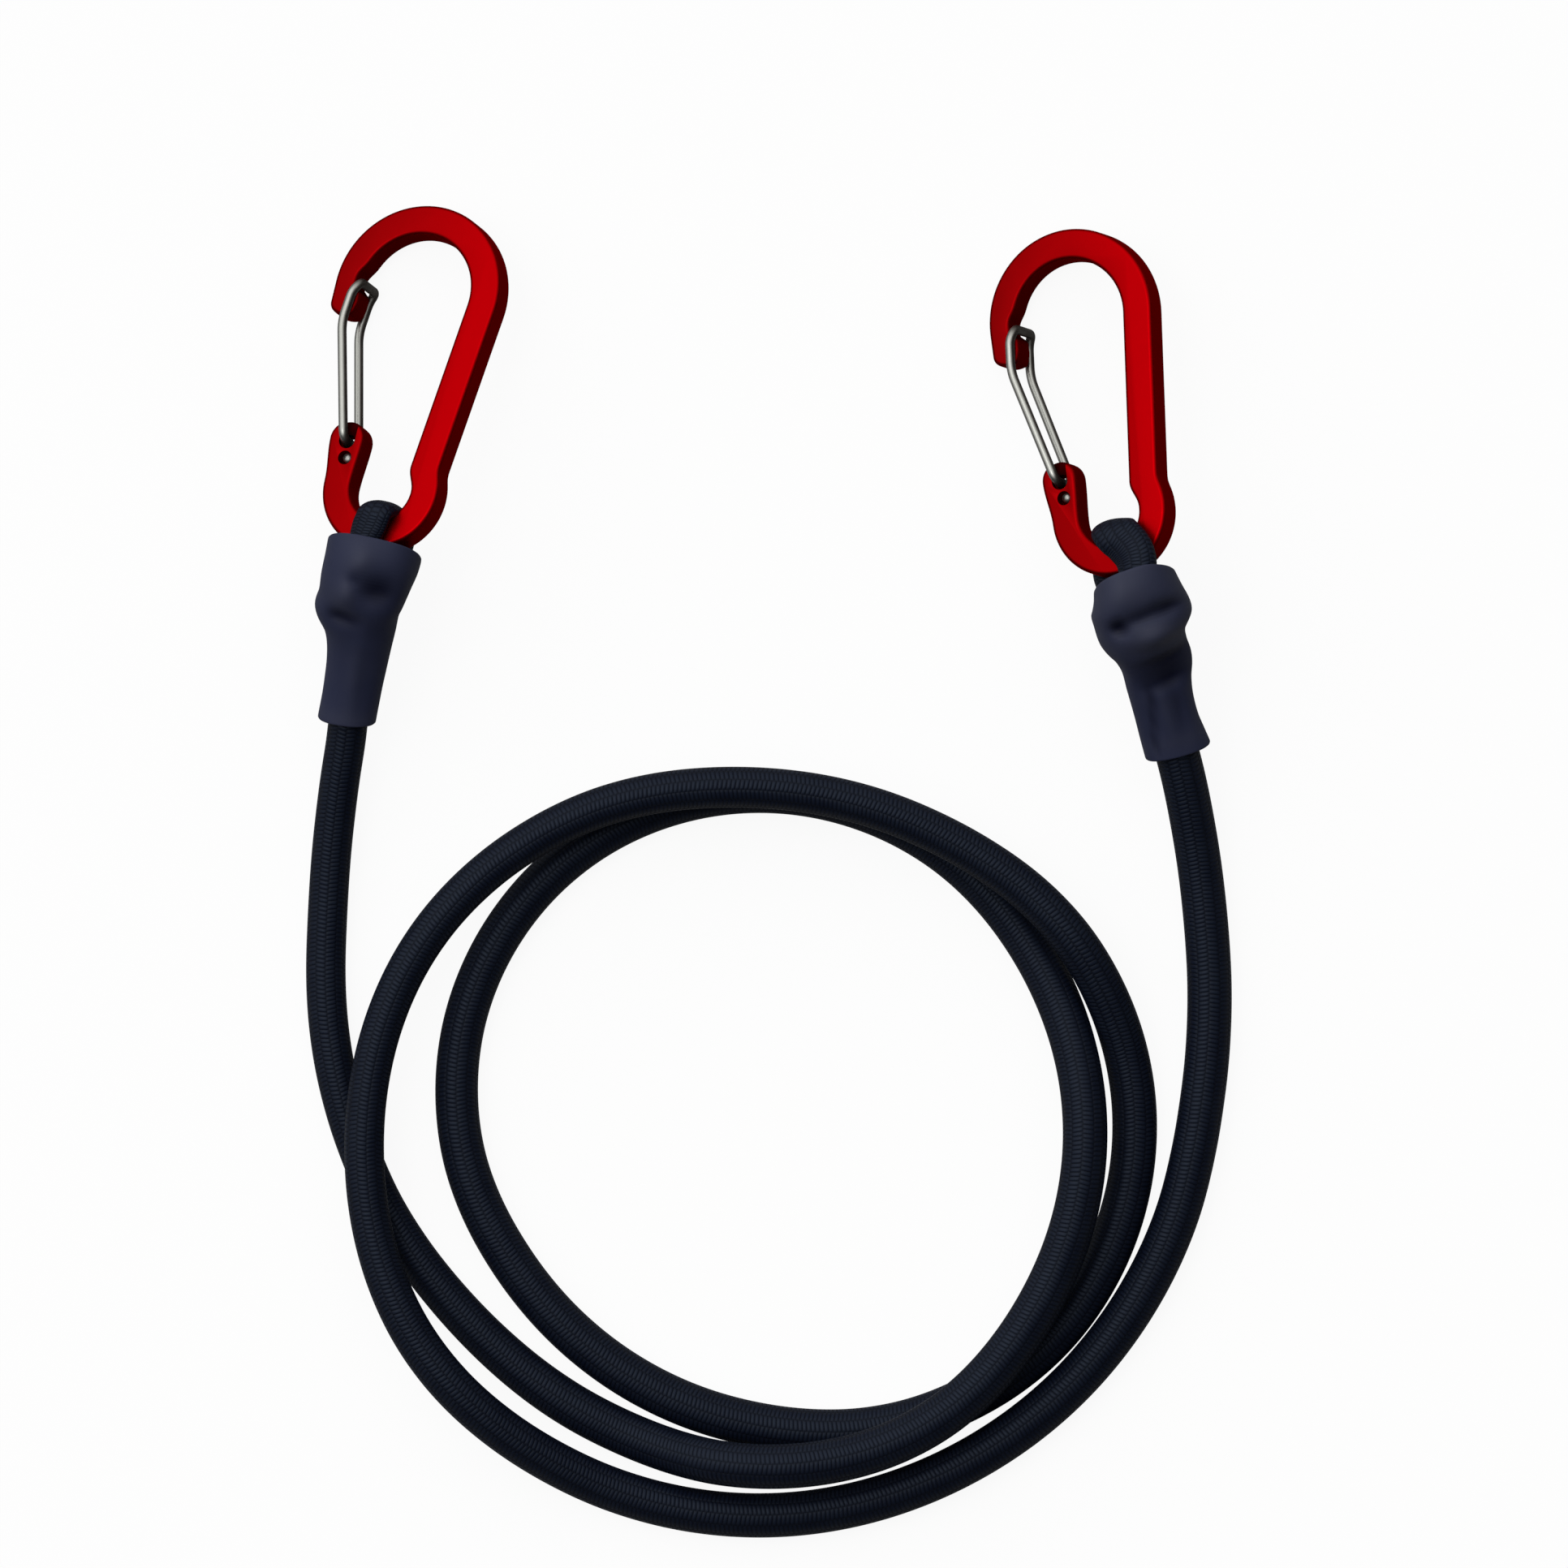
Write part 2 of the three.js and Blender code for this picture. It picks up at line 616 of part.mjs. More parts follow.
// A free stretch runs straight out of the sleeve and straight into the coil
function freeStretch(name, end, route, coilEnd, coilWay) {
  const meet = coilEnd.clone().addScaledVector(coilWay, runningGap);
  const points = [end.cordStart, end.exit, end.exit.clone().addScaledVector(end.exitWay, cordRadius)];
  points.push(...route.map((p) => point(...p)));
  points.push(meet.clone().addScaledVector(coilWay, straightEnd), meet);
  const path = new THREE.CatmullRomCurve3(points, false, "centripetal");
  const section = new THREE.Shape();
  for (let k = 0; k < cordSides; k++) {
    const angle = (2 * Math.PI * k) / cordSides;
    const corner = [cordRadius * Math.cos(angle), cordRadius * Math.sin(angle)];
    if (k === 0) section.moveTo(...corner);
    else section.lineTo(...corner);
  }
  const steps = Math.round(path.getLength() / cordDiameter);
  const geometry = new THREE.ExtrudeGeometry(section, { steps, extrudePath: path, curveSegments: 1 });
  return { mesh: named(name, laidFlat(geometry), braid), length: path.getLength() };
}

// Least distance of the coil's skin to itself, measured between points at least three diameters apart along it
function leastGap(line) {
  const fine = new THREE.CatmullRomCurve3(line, false, "centripetal").getSpacedPoints(1200);
  const skip = Math.ceil((3 * cordDiameter) / fine[0].distanceTo(fine[1]));
  let least = Infinity;
  for (let i = 0; i < fine.length; i++) {
    for (let j = i + skip; j < fine.length; j++) least = Math.min(least, fine[i].distanceTo(fine[j]));
  }
  return least - cordDiameter;
}

const left = buildEnd("left", ends.left);
const right = buildEnd("right", ends.right);
const winding = coilLine();
const leftEnd = freeStretch("cord_left_end", left, leftStretch, winding.line[0], winding.first);
const rightEnd = freeStretch("cord_right_end", right, rightStretch, winding.line.at(-1), winding.last);

// The origin is on the table, under the middle of the hooks and sleeves
const hardware = new THREE.Group();
hardware.add(...left.rigid, ...right.rigid);
const bounds = new THREE.Box3().setFromObject(hardware, true);
const bungeeCord = new THREE.Group();
bungeeCord.add(hardware, coil(winding.line), leftEnd.mesh, rightEnd.mesh);
const centre = bounds.getCenter(point(0, 0));
bungeeCord.position.set(-centre.x, -centre.y, 0);

// What a reader of the model may want to know
const fixed = (p) => [p.x - centre.x, p.y - centre.y, p.z].map((n) => n.toFixed(3)).join(", ");
const coilLength = new THREE.CatmullRomCurve3(winding.line).getLength();
console.log("least gap of the coil to itself", leastGap(winding.line).toFixed(2), "mm");
console.log("cord from sleeve to sleeve", (coilLength + leftEnd.length + rightEnd.length).toFixed(1), "mm");
for (const [side, end] of [["left", left], ["right", right]]) {
  console.log(side, "basket centre", fixed(end.toTable(0, 0, 0)));
  console.log(side, "gate pivot", fixed(end.toTable(gatePivot.x, gatePivot.y, 0)));
  const axis = end.direction(0, 0, 1);
  console.log(side, "axis", [axis.x, axis.y, axis.z].map((n) => n.toFixed(5)).join(", "));
}
console.log("origin shift", centre.x.toFixed(3), centre.y.toFixed(3), "lowest", bounds.min.z.toFixed(3));

export default bungeeCord;
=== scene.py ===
import math
import bpy
from mathutils import Matrix, Vector


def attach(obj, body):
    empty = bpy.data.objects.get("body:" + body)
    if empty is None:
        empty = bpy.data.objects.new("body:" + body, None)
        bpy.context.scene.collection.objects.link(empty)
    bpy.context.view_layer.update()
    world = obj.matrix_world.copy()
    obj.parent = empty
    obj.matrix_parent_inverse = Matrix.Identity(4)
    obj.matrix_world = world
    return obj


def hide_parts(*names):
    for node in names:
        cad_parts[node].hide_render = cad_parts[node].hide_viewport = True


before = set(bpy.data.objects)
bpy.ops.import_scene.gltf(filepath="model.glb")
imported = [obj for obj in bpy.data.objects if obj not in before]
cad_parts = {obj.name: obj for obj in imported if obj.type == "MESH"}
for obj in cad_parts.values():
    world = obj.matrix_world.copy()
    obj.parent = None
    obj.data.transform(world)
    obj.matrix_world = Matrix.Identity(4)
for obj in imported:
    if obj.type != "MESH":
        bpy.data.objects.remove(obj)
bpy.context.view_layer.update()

mm = 0.001
frameShift = Vector((0.074, 0.129, 0))  # from the route's own origin to the frame's, in mm
print("bungee cord: frame loaded")


# Camera: long lens, straight down on the table
cameraSet = {
    "aim": (2.76, -36.75),
    "height": 4000,
    "frameWide": 192.05,
    "sensor": 36,
    "clip": (0.01, 20),
}
bpy.ops.object.select_all(action="DESELECT")
bpy.ops.object.camera_add(
    location=(cameraSet["aim"][0] * mm, cameraSet["aim"][1] * mm, cameraSet["height"] * mm),
    rotation=(0, 0, 0),
)
camera = bpy.context.active_object
camera.name = "Camera"
camera.data.sensor_width = cameraSet["sensor"]
camera.data.lens = cameraSet["sensor"] * cameraSet["height"] / cameraSet["frameWide"]
camera.data.clip_start, camera.data.clip_end = cameraSet["clip"]
bpy.context.scene.camera = camera
bpy.context.scene.view_settings.view_transform = "Standard"


# Small helpers for shapes
def smoothStep(t):
    return t * t * (3 - 2 * t)


def part(value, start, end):
    return smoothStep(min(max((value - start) / (end - start), 0), 1))


def mixNumbers(a, b, share):
    return a + (b - a) * share


def bump(value, middle, width):
    return math.exp(-(((value - middle) / width) ** 2))


def fromTable(table, value):  # smooth reading of a list of (place, number)
    if value <= table[0][0]:
        return table[0][1]
    if value >= table[-1][0]:
        return table[-1][1]
    i = max(k for k in range(len(table) - 1) if table[k][0] <= value)
    (x1, b), (x2, c) = table[i], table[i + 1]
    before = table[max(i - 1, 0)]
    after = table[min(i + 2, len(table) - 1)]
    span = x2 - x1
    t = (value - x1) / span
    startSlope = (c - before[1]) / (x2 - before[0]) * span
    endSlope = (after[1] - b) / (after[0] - x1) * span
    return (
        b * (2 * t**3 - 3 * t**2 + 1)
        + startSlope * (t**3 - 2 * t**2 + t)
        + c * (3 * t**2 - 2 * t**3)
        + endSlope * (t**3 - t**2)
    )


def squareTo(way, along):
    return (way - along * way.dot(along)).normalized()


def rightOf(along):  # the level direction to the right of a strand, seen from above
    return along.cross(Vector((0, 0, 1))).normalized() * -1


def select(piece):
    bpy.ops.object.select_all(action="DESELECT")
    piece.select_set(True)
    bpy.context.view_layer.objects.active = piece


def applyModifier(piece, kind, **settings):
    select(piece)
    bpy.ops.object.modifier_add(type=kind)
    modifier = piece.modifiers[-1]
    for key, value in settings.items():
        setattr(modifier, key, value)
    bpy.ops.object.modifier_apply(modifier=modifier.name)


def pointValues(piece, *names):  # numbers for each vertex, which the finishes read
    for name in names:
        piece.data.attributes.new(name, "FLOAT", "POINT")
    return [piece.data.attributes[name].data for name in names]


def finishPiece(piece, material, body, nodes):
    piece.data.materials.clear()
    piece.data.materials.append(material)
    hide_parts(*nodes)
    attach(piece, body)


# A skin over rings of points in mm, with a map that counts stitches round and along it
def skinRings(name, rings, stitches=(1, 1), capped=True):
    sides = len(rings[0])
    points = [p * mm for ring in rings for p in ring]
    faces, corners = [], []
    middles = [sum(ring, Vector()) / sides for ring in rings]
    travel = [0]
    for a, b in zip(middles, middles[1:]):
        travel.append(travel[-1] + (b - a).length)
    for i in range(len(rings) - 1):
        for k in range(sides):
            n = (k + 1) % sides
            faces.append((i * sides + k, i * sides + n, (i + 1) * sides + n, (i + 1) * sides + k))
            u1, u2 = stitches[0] * k / sides, stitches[0] * (k + 1) / sides
            v1, v2 = travel[i] * stitches[1], travel[i + 1] * stitches[1]
            corners += [(u1, v1), (u2, v1), (u2, v2), (u1, v2)]
    if capped:
        for i in (0, len(rings) - 1):
            hub = len(points)
            points.append(middles[i] * mm)
            for k in range(sides):
                n = (k + 1) % sides
                pair = (i * sides + n, i * sides + k) if i == 0 else (i * sides + k, i * sides + n)
                faces.append((hub, *pair))
                corners += [(stitches[0] * (k + 0.5) / sides, travel[i] * stitches[1])] * 3
    mesh = bpy.data.meshes.new(name)
    mesh.from_pydata(points, [], faces)
    lay = mesh.uv_layers.new(name="lay")
    for loop, corner in zip(lay.data, corners):
        loop.uv = corner
    piece = bpy.data.objects.new(name, mesh)
    bpy.context.scene.collection.objects.link(piece)
    select(piece)
    bpy.ops.object.mode_set(mode="EDIT")
    bpy.ops.mesh.select_all(action="SELECT")
    bpy.ops.mesh.normals_make_consistent(inside=False)
    bpy.ops.object.mode_set(mode="OBJECT")
    bpy.ops.object.shade_smooth()
    return piece


# Shader nodes: a socket with arithmetic, and a material that adds nodes
class Value:
    def __init__(self, finish, socket):
        self.finish = finish
        self.socket = socket

    def math(self, operation, *values):
        return self.finish.add("ShaderNodeMath", {"operation": operation}, dict(enumerate(values)))

    def __add__(self, other):
        return self.math("ADD", self, other)

    def __radd__(self, other):
        return self.math("ADD", other, self)

    def __sub__(self, other):
        return self.math("SUBTRACT", self, other)

    def __rsub__(self, other):
        return self.math("SUBTRACT", other, self)

    def __mul__(self, other):
        return self.math("MULTIPLY", self, other)

    def __pow__(self, other):
        return self.math("POWER", self, other)


class Finish:
    def __init__(self, name):
        self.material = bpy.data.materials.new(name)
        self.material.use_nodes = True
        self.tree = self.material.node_tree
        self.tree.nodes.clear()

    def add(self, kind, settings=None, inputs=None, output=0):
        node = self.tree.nodes.new(kind)
        for key, value in (settings or {}).items():
            setattr(node, key, value)
        for key, value in (inputs or {}).items():
            if isinstance(value, Value):
                self.tree.links.new(value.socket, node.inputs[key])
            else:
                node.inputs[key].default_value = value
        return Value(self, node.outputs[output]) if len(node.outputs) else None

    def mixColour(self, share, first, second):
        first = (*first, 1) if isinstance(first, tuple) else first
        second = (*second, 1) if isinstance(second, tuple) else second
        return self.add("ShaderNodeMix", {"data_type": "RGBA"}, {0: share, 6: first, 7: second}, 2)

    def noise(self, place, scale, detail=3, rough=0.5):
        inputs = {"Vector": place, "Scale": scale, "Detail": detail, "Roughness": rough}
        return self.add("ShaderNodeTexNoise", {}, inputs)

    def place(self):
        return self.add("ShaderNodeTexCoord", output=3)

    def attribute(self, name):
        return self.add("ShaderNodeAttribute", {"attribute_name": name}, output=2)

    def clamped(self, value):
        return self.add("ShaderNodeClamp", {}, {0: value})

    def bumped(self, height, distance, strength):
        inputs = {"Height": height, "Distance": distance * mm, "Strength": strength}
        return self.add("ShaderNodeBump", {}, inputs)

    def surface(self, inputs):
        shader = self.add("ShaderNodeBsdfPrincipled", {}, inputs)
        self.add("ShaderNodeOutputMaterial", {}, {"Surface": shader})
        return self.material


# Braided sheath: short stitches in lengthwise columns, each column half a stitch on from its neighbour
braidSet = {
    "columns": 12,
    "stitch": 0.54,
    "slant": 0.16,
    "relief": 0.085,
    "eyeStitch": 0.4,
    "wearScale": 260,
    "fuzzScale": 5200,
    "fuzz": 0.16,
    "thread": (0.0035, 0.0055, 0.0135),
    "dusty": (0.0065, 0.0095, 0.0185),
    "grooveShade": (0.0006, 0.001, 0.004),
    "sheen": (0.7, 0.82, 1, 1),
}


def braidFinish():
    finish = Finish("cordBraid")
    lay = finish.add("ShaderNodeUVMap", {"uv_map": "lay"})
    across = finish.add("ShaderNodeSeparateXYZ", {}, {0: lay}, 0)
    along = finish.add("ShaderNodeSeparateXYZ", {}, {0: lay}, 1)
    odd = across.math("FLOORED_MODULO", across.math("FLOOR", across), 2)
    column = across.math("FRACT", across)
    side = column * 2 - 1
    slanted = along + odd * 0.5 + side * (1 - odd * 2) * braidSet["slant"]
    rib = slanted.math("FRACT", slanted) * math.pi
    rib = rib.math("SINE", rib)
    edge = side.math("ABSOLUTE", side)
    rounded = 1 - edge ** 4
    height = rib ** 0.7 * (rounded * 0.75 + 0.25)
    place = finish.place()
    wear = finish.noise(place, braidSet["wearScale"], 4)
    fuzz = finish.noise(place, braidSet["fuzzScale"], 2)
    thread = finish.mixColour(wear * 2.2 - 0.72, braidSet["thread"], braidSet["dusty"])
    # painted shade: darker in the grooves between stitches
    colour = finish.mixColour(height ** 1.4, braidSet["grooveShade"], thread)
    normal = finish.bumped(height + fuzz * braidSet["fuzz"], braidSet["relief"], 0.9)
    return finish.surface(
        {
            "Base Color": colour,
            "Roughness": 0.56 - height * 0.16 + wear * 0.1,
            "Normal": normal,
            "Specular IOR Level": 0.15,
            "Specular Tint": braidSet["sheen"],
        }
    )


# Anodised aluminium: satin red faces, walls darker as painted shade, faces and walls darker towards the nose
# and lug as painted shade, a thin brighter edge that is partly wear and partly painted highlight, and painted
# shade in the lug's holes and slots
hookSet = {
    "face": (0.28, 0.0, 0.0012),
    "faceNoseShade": (0.16, 0.0006, 0.0012),
    "wall": (0.2, 0.0, 0.001),
    "wallNoseShade": (0.1, 0.0, 0.0008),
    "rimWearAndGlint": (0.4, 0.01, 0.008),
    "pitShade": (0.03, 0.0, 0.0005),
    "glare": (0.8, 0.02, 0.02, 1),
    "rimWearAndGlintShare": 0.25,
    "cloudScale": 140,
    "scuffScale": 900,
    "grainScale": 2600,
    "grain": 0.01,
}


def hookFinish():
    finish = Finish("redAnodised")
    wall = finish.attribute("wall")
    place = finish.place()
    cloud = finish.noise(place, hookSet["cloudScale"], 4)
    grain = finish.noise(place, hookSet["grainScale"], 3, 0.6)
    scuff = finish.noise(place, hookSet["scuffScale"], 5, 0.65)
    # painted shade: faces and walls darker towards the nose and lug
    outOfShade = finish.clamped(finish.attribute("outOfNoseShade") + cloud * 0.16 - 0.08)
    face = finish.mixColour(outOfShade, hookSet["faceNoseShade"], hookSet["face"])
    # painted shade: the walls are darker than the faces
    shadedFlank = finish.mixColour(outOfShade, hookSet["wallNoseShade"], hookSet["wall"])
    colour = finish.mixColour(wall, face, shadedFlank)
    # a thin brighter edge on the rounding, patchy with scuffs: partly wear, partly painted highlight
    rimWearAndGlint = wall * (1 - wall) * 4
    wornAndGlint = finish.clamped(rimWearAndGlint ** 3 * (scuff * 3.4 - 1.3))
    colour = finish.mixColour(wornAndGlint * hookSet["rimWearAndGlintShare"], colour, hookSet["rimWearAndGlint"])
    # painted shade in the lug's holes and slots
    colour = finish.mixColour(finish.attribute("pitShade"), colour, hookSet["pitShade"])
    normal = finish.bumped(grain + scuff * 0.6, hookSet["grain"], 0.45)
    return finish.surface(
        {
            "Base Color": colour,
            "Metallic": 1.0,
            "Specular Tint": hookSet["glare"],
            "Roughness": 0.34 + scuff * 0.12 + wall * 0.1,
            "Normal": normal,
        }
    )


# Drawn steel wire with faint draw lines, and painted shade on the side that faces the spine and at its loop
# inside the nose
wireSet = {
    "bright": (0.34, 0.345, 0.32),
    "line": (0.17, 0.16, 0.145),
    "paintedShade": (0.045, 0.038, 0.032),
    "drawScale": (60, 4, 1),
    "drawn": 0.003,
    "cloudScale": 700,
}


def wireFinish():
    finish = Finish("springSteel")
    loop = finish.attribute("loop")
    lay = finish.add("ShaderNodeUVMap", {"uv_map": "lay"})
    streaks = finish.add("ShaderNodeMapping", {}, {"Vector": lay, "Scale": wireSet["drawScale"]})
    lines = finish.noise(streaks, 1, 2)
    cloud = finish.noise(finish.place(), wireSet["cloudScale"], 4)
    # painted shade from the loop values, broken up by noise
    shadeShare = finish.clamped(loop * (cloud * 0.7 + 0.6))
    colour = finish.mixColour(shadeShare, wireSet["bright"], wireSet["paintedShade"])
    colour = finish.mixColour(lines * 0.35, colour, wireSet["line"])
    return finish.surface(
        {
            "Base Color": colour,
            "Metallic": 1.0,
            "Roughness": 0.24 + lines * 0.14 + shadeShare * 0.2,
            "Normal": finish.bumped(lines, wireSet["drawn"], 0.5),
        }
    )


# Shrink tube: matt navy rubber with a soft skin, paler near its mouth and near its end, with painted
# highlight on its bumps and painted shade in its dents
sleeveSet = {
    "rubber": (0.0155, 0.019, 0.045),
    "paleAndHighlit": (0.029, 0.032, 0.055),
    "hollow": (0.002, 0.0028, 0.012),
    "cloudScale": 170,
    "skinScale": 1500,
    "dustScale": 5200,
    "skin": 0.02,
    "wall": 0.6,
    "steps": 80,
    "sides": 64,
    "boxyMouth": 0.8,
    "boxyEnd": 0.9,
    "boxyBy": (3, 9),
    "slantFrom": 2.7,
    "slantBy": 5,
    "dentFade": 0.5,
    "bumpHighlightBy": 1.2,
    "paleRing": (21, 1.2, 0.4),
    "greyMouth": (1, 7),
    "dentShadeBy": 0.85,
    "darkest": 0.95,
}


def sleeveFinish():
    finish = Finish("shrinkTube")
    place = finish.place()
    cloud = finish.noise(place, sleeveSet["cloudScale"], 4)
    skin = finish.noise(place, sleeveSet["skinScale"], 3)
    dust = finish.noise(place, sleeveSet["dustScale"], 2)
    # paler near the mouth and near the end, and painted highlight on the bumps
    paleAndBumpHighlight = finish.clamped(finish.attribute("paleAndBumpHighlight") * 0.7 + cloud * 0.5 - 0.1)
    colour = finish.mixColour(paleAndBumpHighlight, sleeveSet["rubber"], sleeveSet["paleAndHighlit"])
    # painted shade in the dents
    colour = finish.mixColour(finish.attribute("hollow"), colour, sleeveSet["hollow"])
    return finish.surface(
        {
            "Base Color": colour,
            "Roughness": 0.5 + cloud * 0.12 + dust * 0.06,
            "Normal": finish.bumped(skin + dust * 0.3, sleeveSet["skin"], 0.5),
            "Specular IOR Level": 0.14,
        }
    )


# Pressed crimp: dull zinc-plated steel, seen only if a sleeve is taken off
crimpSet = {
    "zinc": (0.42, 0.42, 0.41),
    "dull": (0.25, 0.25, 0.24),
    "cloudScale": 420,
    "grainScale": 2400,
    "grain": 0.015,
    "from": 4.8,
    "long": 3.2,
    "under": 0.85,
    "wall": 0.4,
    "steps": 10,
    "sides": 48,
}


def crimpFinish():
    finish = Finish("crimpSteel")
    place = finish.place()
    cloud = finish.noise(place, crimpSet["cloudScale"], 4)
    grain = finish.noise(place, crimpSet["grainScale"], 3)
    colour = finish.mixColour(cloud, crimpSet["zinc"], crimpSet["dull"])
    return finish.surface(
        {
            "Base Color": colour,
            "Metallic": 1.0,
            "Roughness": 0.36 + cloud * 0.2,
            "Normal": finish.bumped(grain, crimpSet["grain"], 0.6),
        }
    )


cordBraid = braidFinish()
redAnodised = hookFinish()
springSteel = wireFinish()
shrinkTube = sleeveFinish()
crimpSteel = crimpFinish()
print("bungee cord: finishes made")


# Sizes that several pieces share, in mm, and how far the hooks lean, in degrees
layRoll = 24.5
layPitch = 11.7
barThickness = 3.5
halfBar = barThickness / 2
basketInner = 4.0
cordRadius = 2.5
squeezed = 1.8
mouthV = -8.1
tailLength = 9.2
fineGap = 0.3

# How each hook lies and how its sleeve leaves it, in mm and degrees. A reach is a list of places down the
# sleeve, each with how far the tube reaches from its axis there. A dent has its place down the sleeve and
# across it, how far the tube stands out there, or in where that is negative, and its spread each way.
ends = {
    "left": {
        "yaw": -13.5,
        "basket": (-45.926, -0.971, 12.071),
        "eyeWidth": 4.5,
        "mouthWidth": 3.6,
        "eyeThick": 2.4,
        "eyeClear": 0.15,
        "tailFace": 1,
        "tailU": 0.3,
        "mainU": 1.9,
        "tailWay": (-0.96, 0.1, 0.25),
        "sleeveEnd": (-50.6, -29, 6.8),
        "sleeveWay": (-0.09, -0.955, -0.28),
        "start": -0.7,
        "leftReach": [(-1.6, 6.5), (1, 6.35), (3.6, 6.25), (5.6, 6.05), (7.3, 6.2), (8.6, 5.7),
                      (10.2, 4.5), (11.9, 3.88), (14.3, 3.52), (16.7, 3.45), (19, 3.5), (21.9, 3.75)],
        "rightReach": [(-1.5, 5.1), (-0.7, 5.3), (1.1, 5.24), (3, 4.9), (5.5, 4.45), (6.6, 4.2),
                       (8.9, 4.2), (11.8, 4.08), (14.7, 3.93), (17.2, 3.75), (19.4, 3.6), (21.9, 3.4)],
        "frontReach": [(-1, 6.5), (2, 6.2), (4.5, 5.5), (7, 4.9), (9.5, 4.1),
                       (12, 3.6), (16, 3.4), (21.9, 3.4)],
        "backReach": [(-1, 6.5), (2, 6.1), (4.5, 5.2), (7, 4.6), (9.5, 3.9),
                      (12, 3.5), (16, 3.3), (21.9, 3.3)],
        "mouthSlant": 0,
        "grey": 0.1,
        "dents": [
            (1.5, -1.8, 0.6, 1.1, 1.7), (3.4, 0.3, -0.95, 1.2, 2.1), (3.3, 2.2, -0.55, 1.5, 1.7),
            (2.9, -2.0, -0.4, 0.5, 0.8), (4.3, -2.6, 0.8, 1.3, 1.7), (6.9, -3.1, -0.7, 1.0, 1.3),
            (7.0, -1.4, -0.55, 1.0, 1.5), (7.5, 1.0, -0.3, 2.0, 3.0), (15, 0.2, 0.35, 6.0, 1.1),
        ],
    },
    "right": {
        "yaw": 7.7,
        "basket": (43.074, -3.871, 12.071),
        "eyeWidth": 5.6,
        "mouthWidth": 5.0,
        "eyeThick": 3.0,
        "eyeClear": 0.3,
        "tailFace": -1,
        "tailU": -3.2,
        "mainU": 3.7,
        "tailWay": (-0.86, -0.2, -0.46),
        "sleeveEnd": (50.7, -32.8, 6.8),
        "sleeveWay": (0.25, -0.93, -0.28),
        "start": 0,
        "leftReach": [(-1, 3.9), (0.7, 4.15), (2.2, 4.65), (3.1, 4.95), (4.6, 4.95), (6.6, 4.9), (7.9, 4.45),
                      (9, 3.85), (11, 3.45), (13.8, 3.62), (17.4, 3.78), (20.7, 3.93), (23.4, 3.95)],
        "rightReach": [(-1, 5.75), (-0.1, 6.15), (2.1, 6.75), (4.6, 7.25), (6, 7.1), (7.7, 5.8),
                       (9.4, 5.45), (11.2, 5.45), (12.7, 5.15), (14.5, 4.45), (16.8, 3.95), (19.5, 3.8),
                       (21.7, 4.05), (23.4, 4.3)],
        "frontReach": [(-1, 7.6), (2, 7.6), (4.5, 6.8), (7, 5.8), (9.5, 5),
                       (12, 4.1), (16, 3.5), (21.9, 3.4)],
        "backReach": [(-1, 7.2), (2, 6.8), (4.5, 5.6), (7, 4.8), (9.5, 4.2),
                      (12, 3.6), (16, 3.3), (21.9, 3.3)],
        "mouthSlant": 0.2,
        "grey": 0.65,
        "dents": [
            (1.8, -0.5, 0.3, 1.4, 2.5), (4.5, -2.1, -1.2, 0.8, 1.1), (4.0, 0.8, -0.6, 0.65, 1.8),
            (3.8, 4.2, -1.0, 0.7, 2.0), (6.2, 1.9, 1.2, 1.2, 2.8), (9.5, 2.2, -0.9, 0.95, 3.7),
            (11.0, 2.1, -0.9, 1.2, 3.6), (12.7, 1.8, -0.95, 1.1, 3.2), (9.0, -3.2, 0.3, 3.0, 0.9),
            (15.0, -1.1, -0.45, 2.0, 0.45), (18.0, -1.7, -0.45, 2.0, 0.45), (21.0, -2.3, -0.45, 2.0, 0.45),
            (17.0, 0.2, 0.3, 3.5, 0.7), (17.0, 1.7, -0.3, 3.0, 0.7),
        ],
    },
}
strandSet = {
    "axisSteps": 600,
    "axisLead": 0.28,
    "axisTrail": 0.44,
    "aloneBy": 4.8,
    "closeBy": 5.2,
    "turnedBy": 7,
    "middleBy": 4,
    "middleUntil": (9, 2),
    "crouch": 0.25,
}


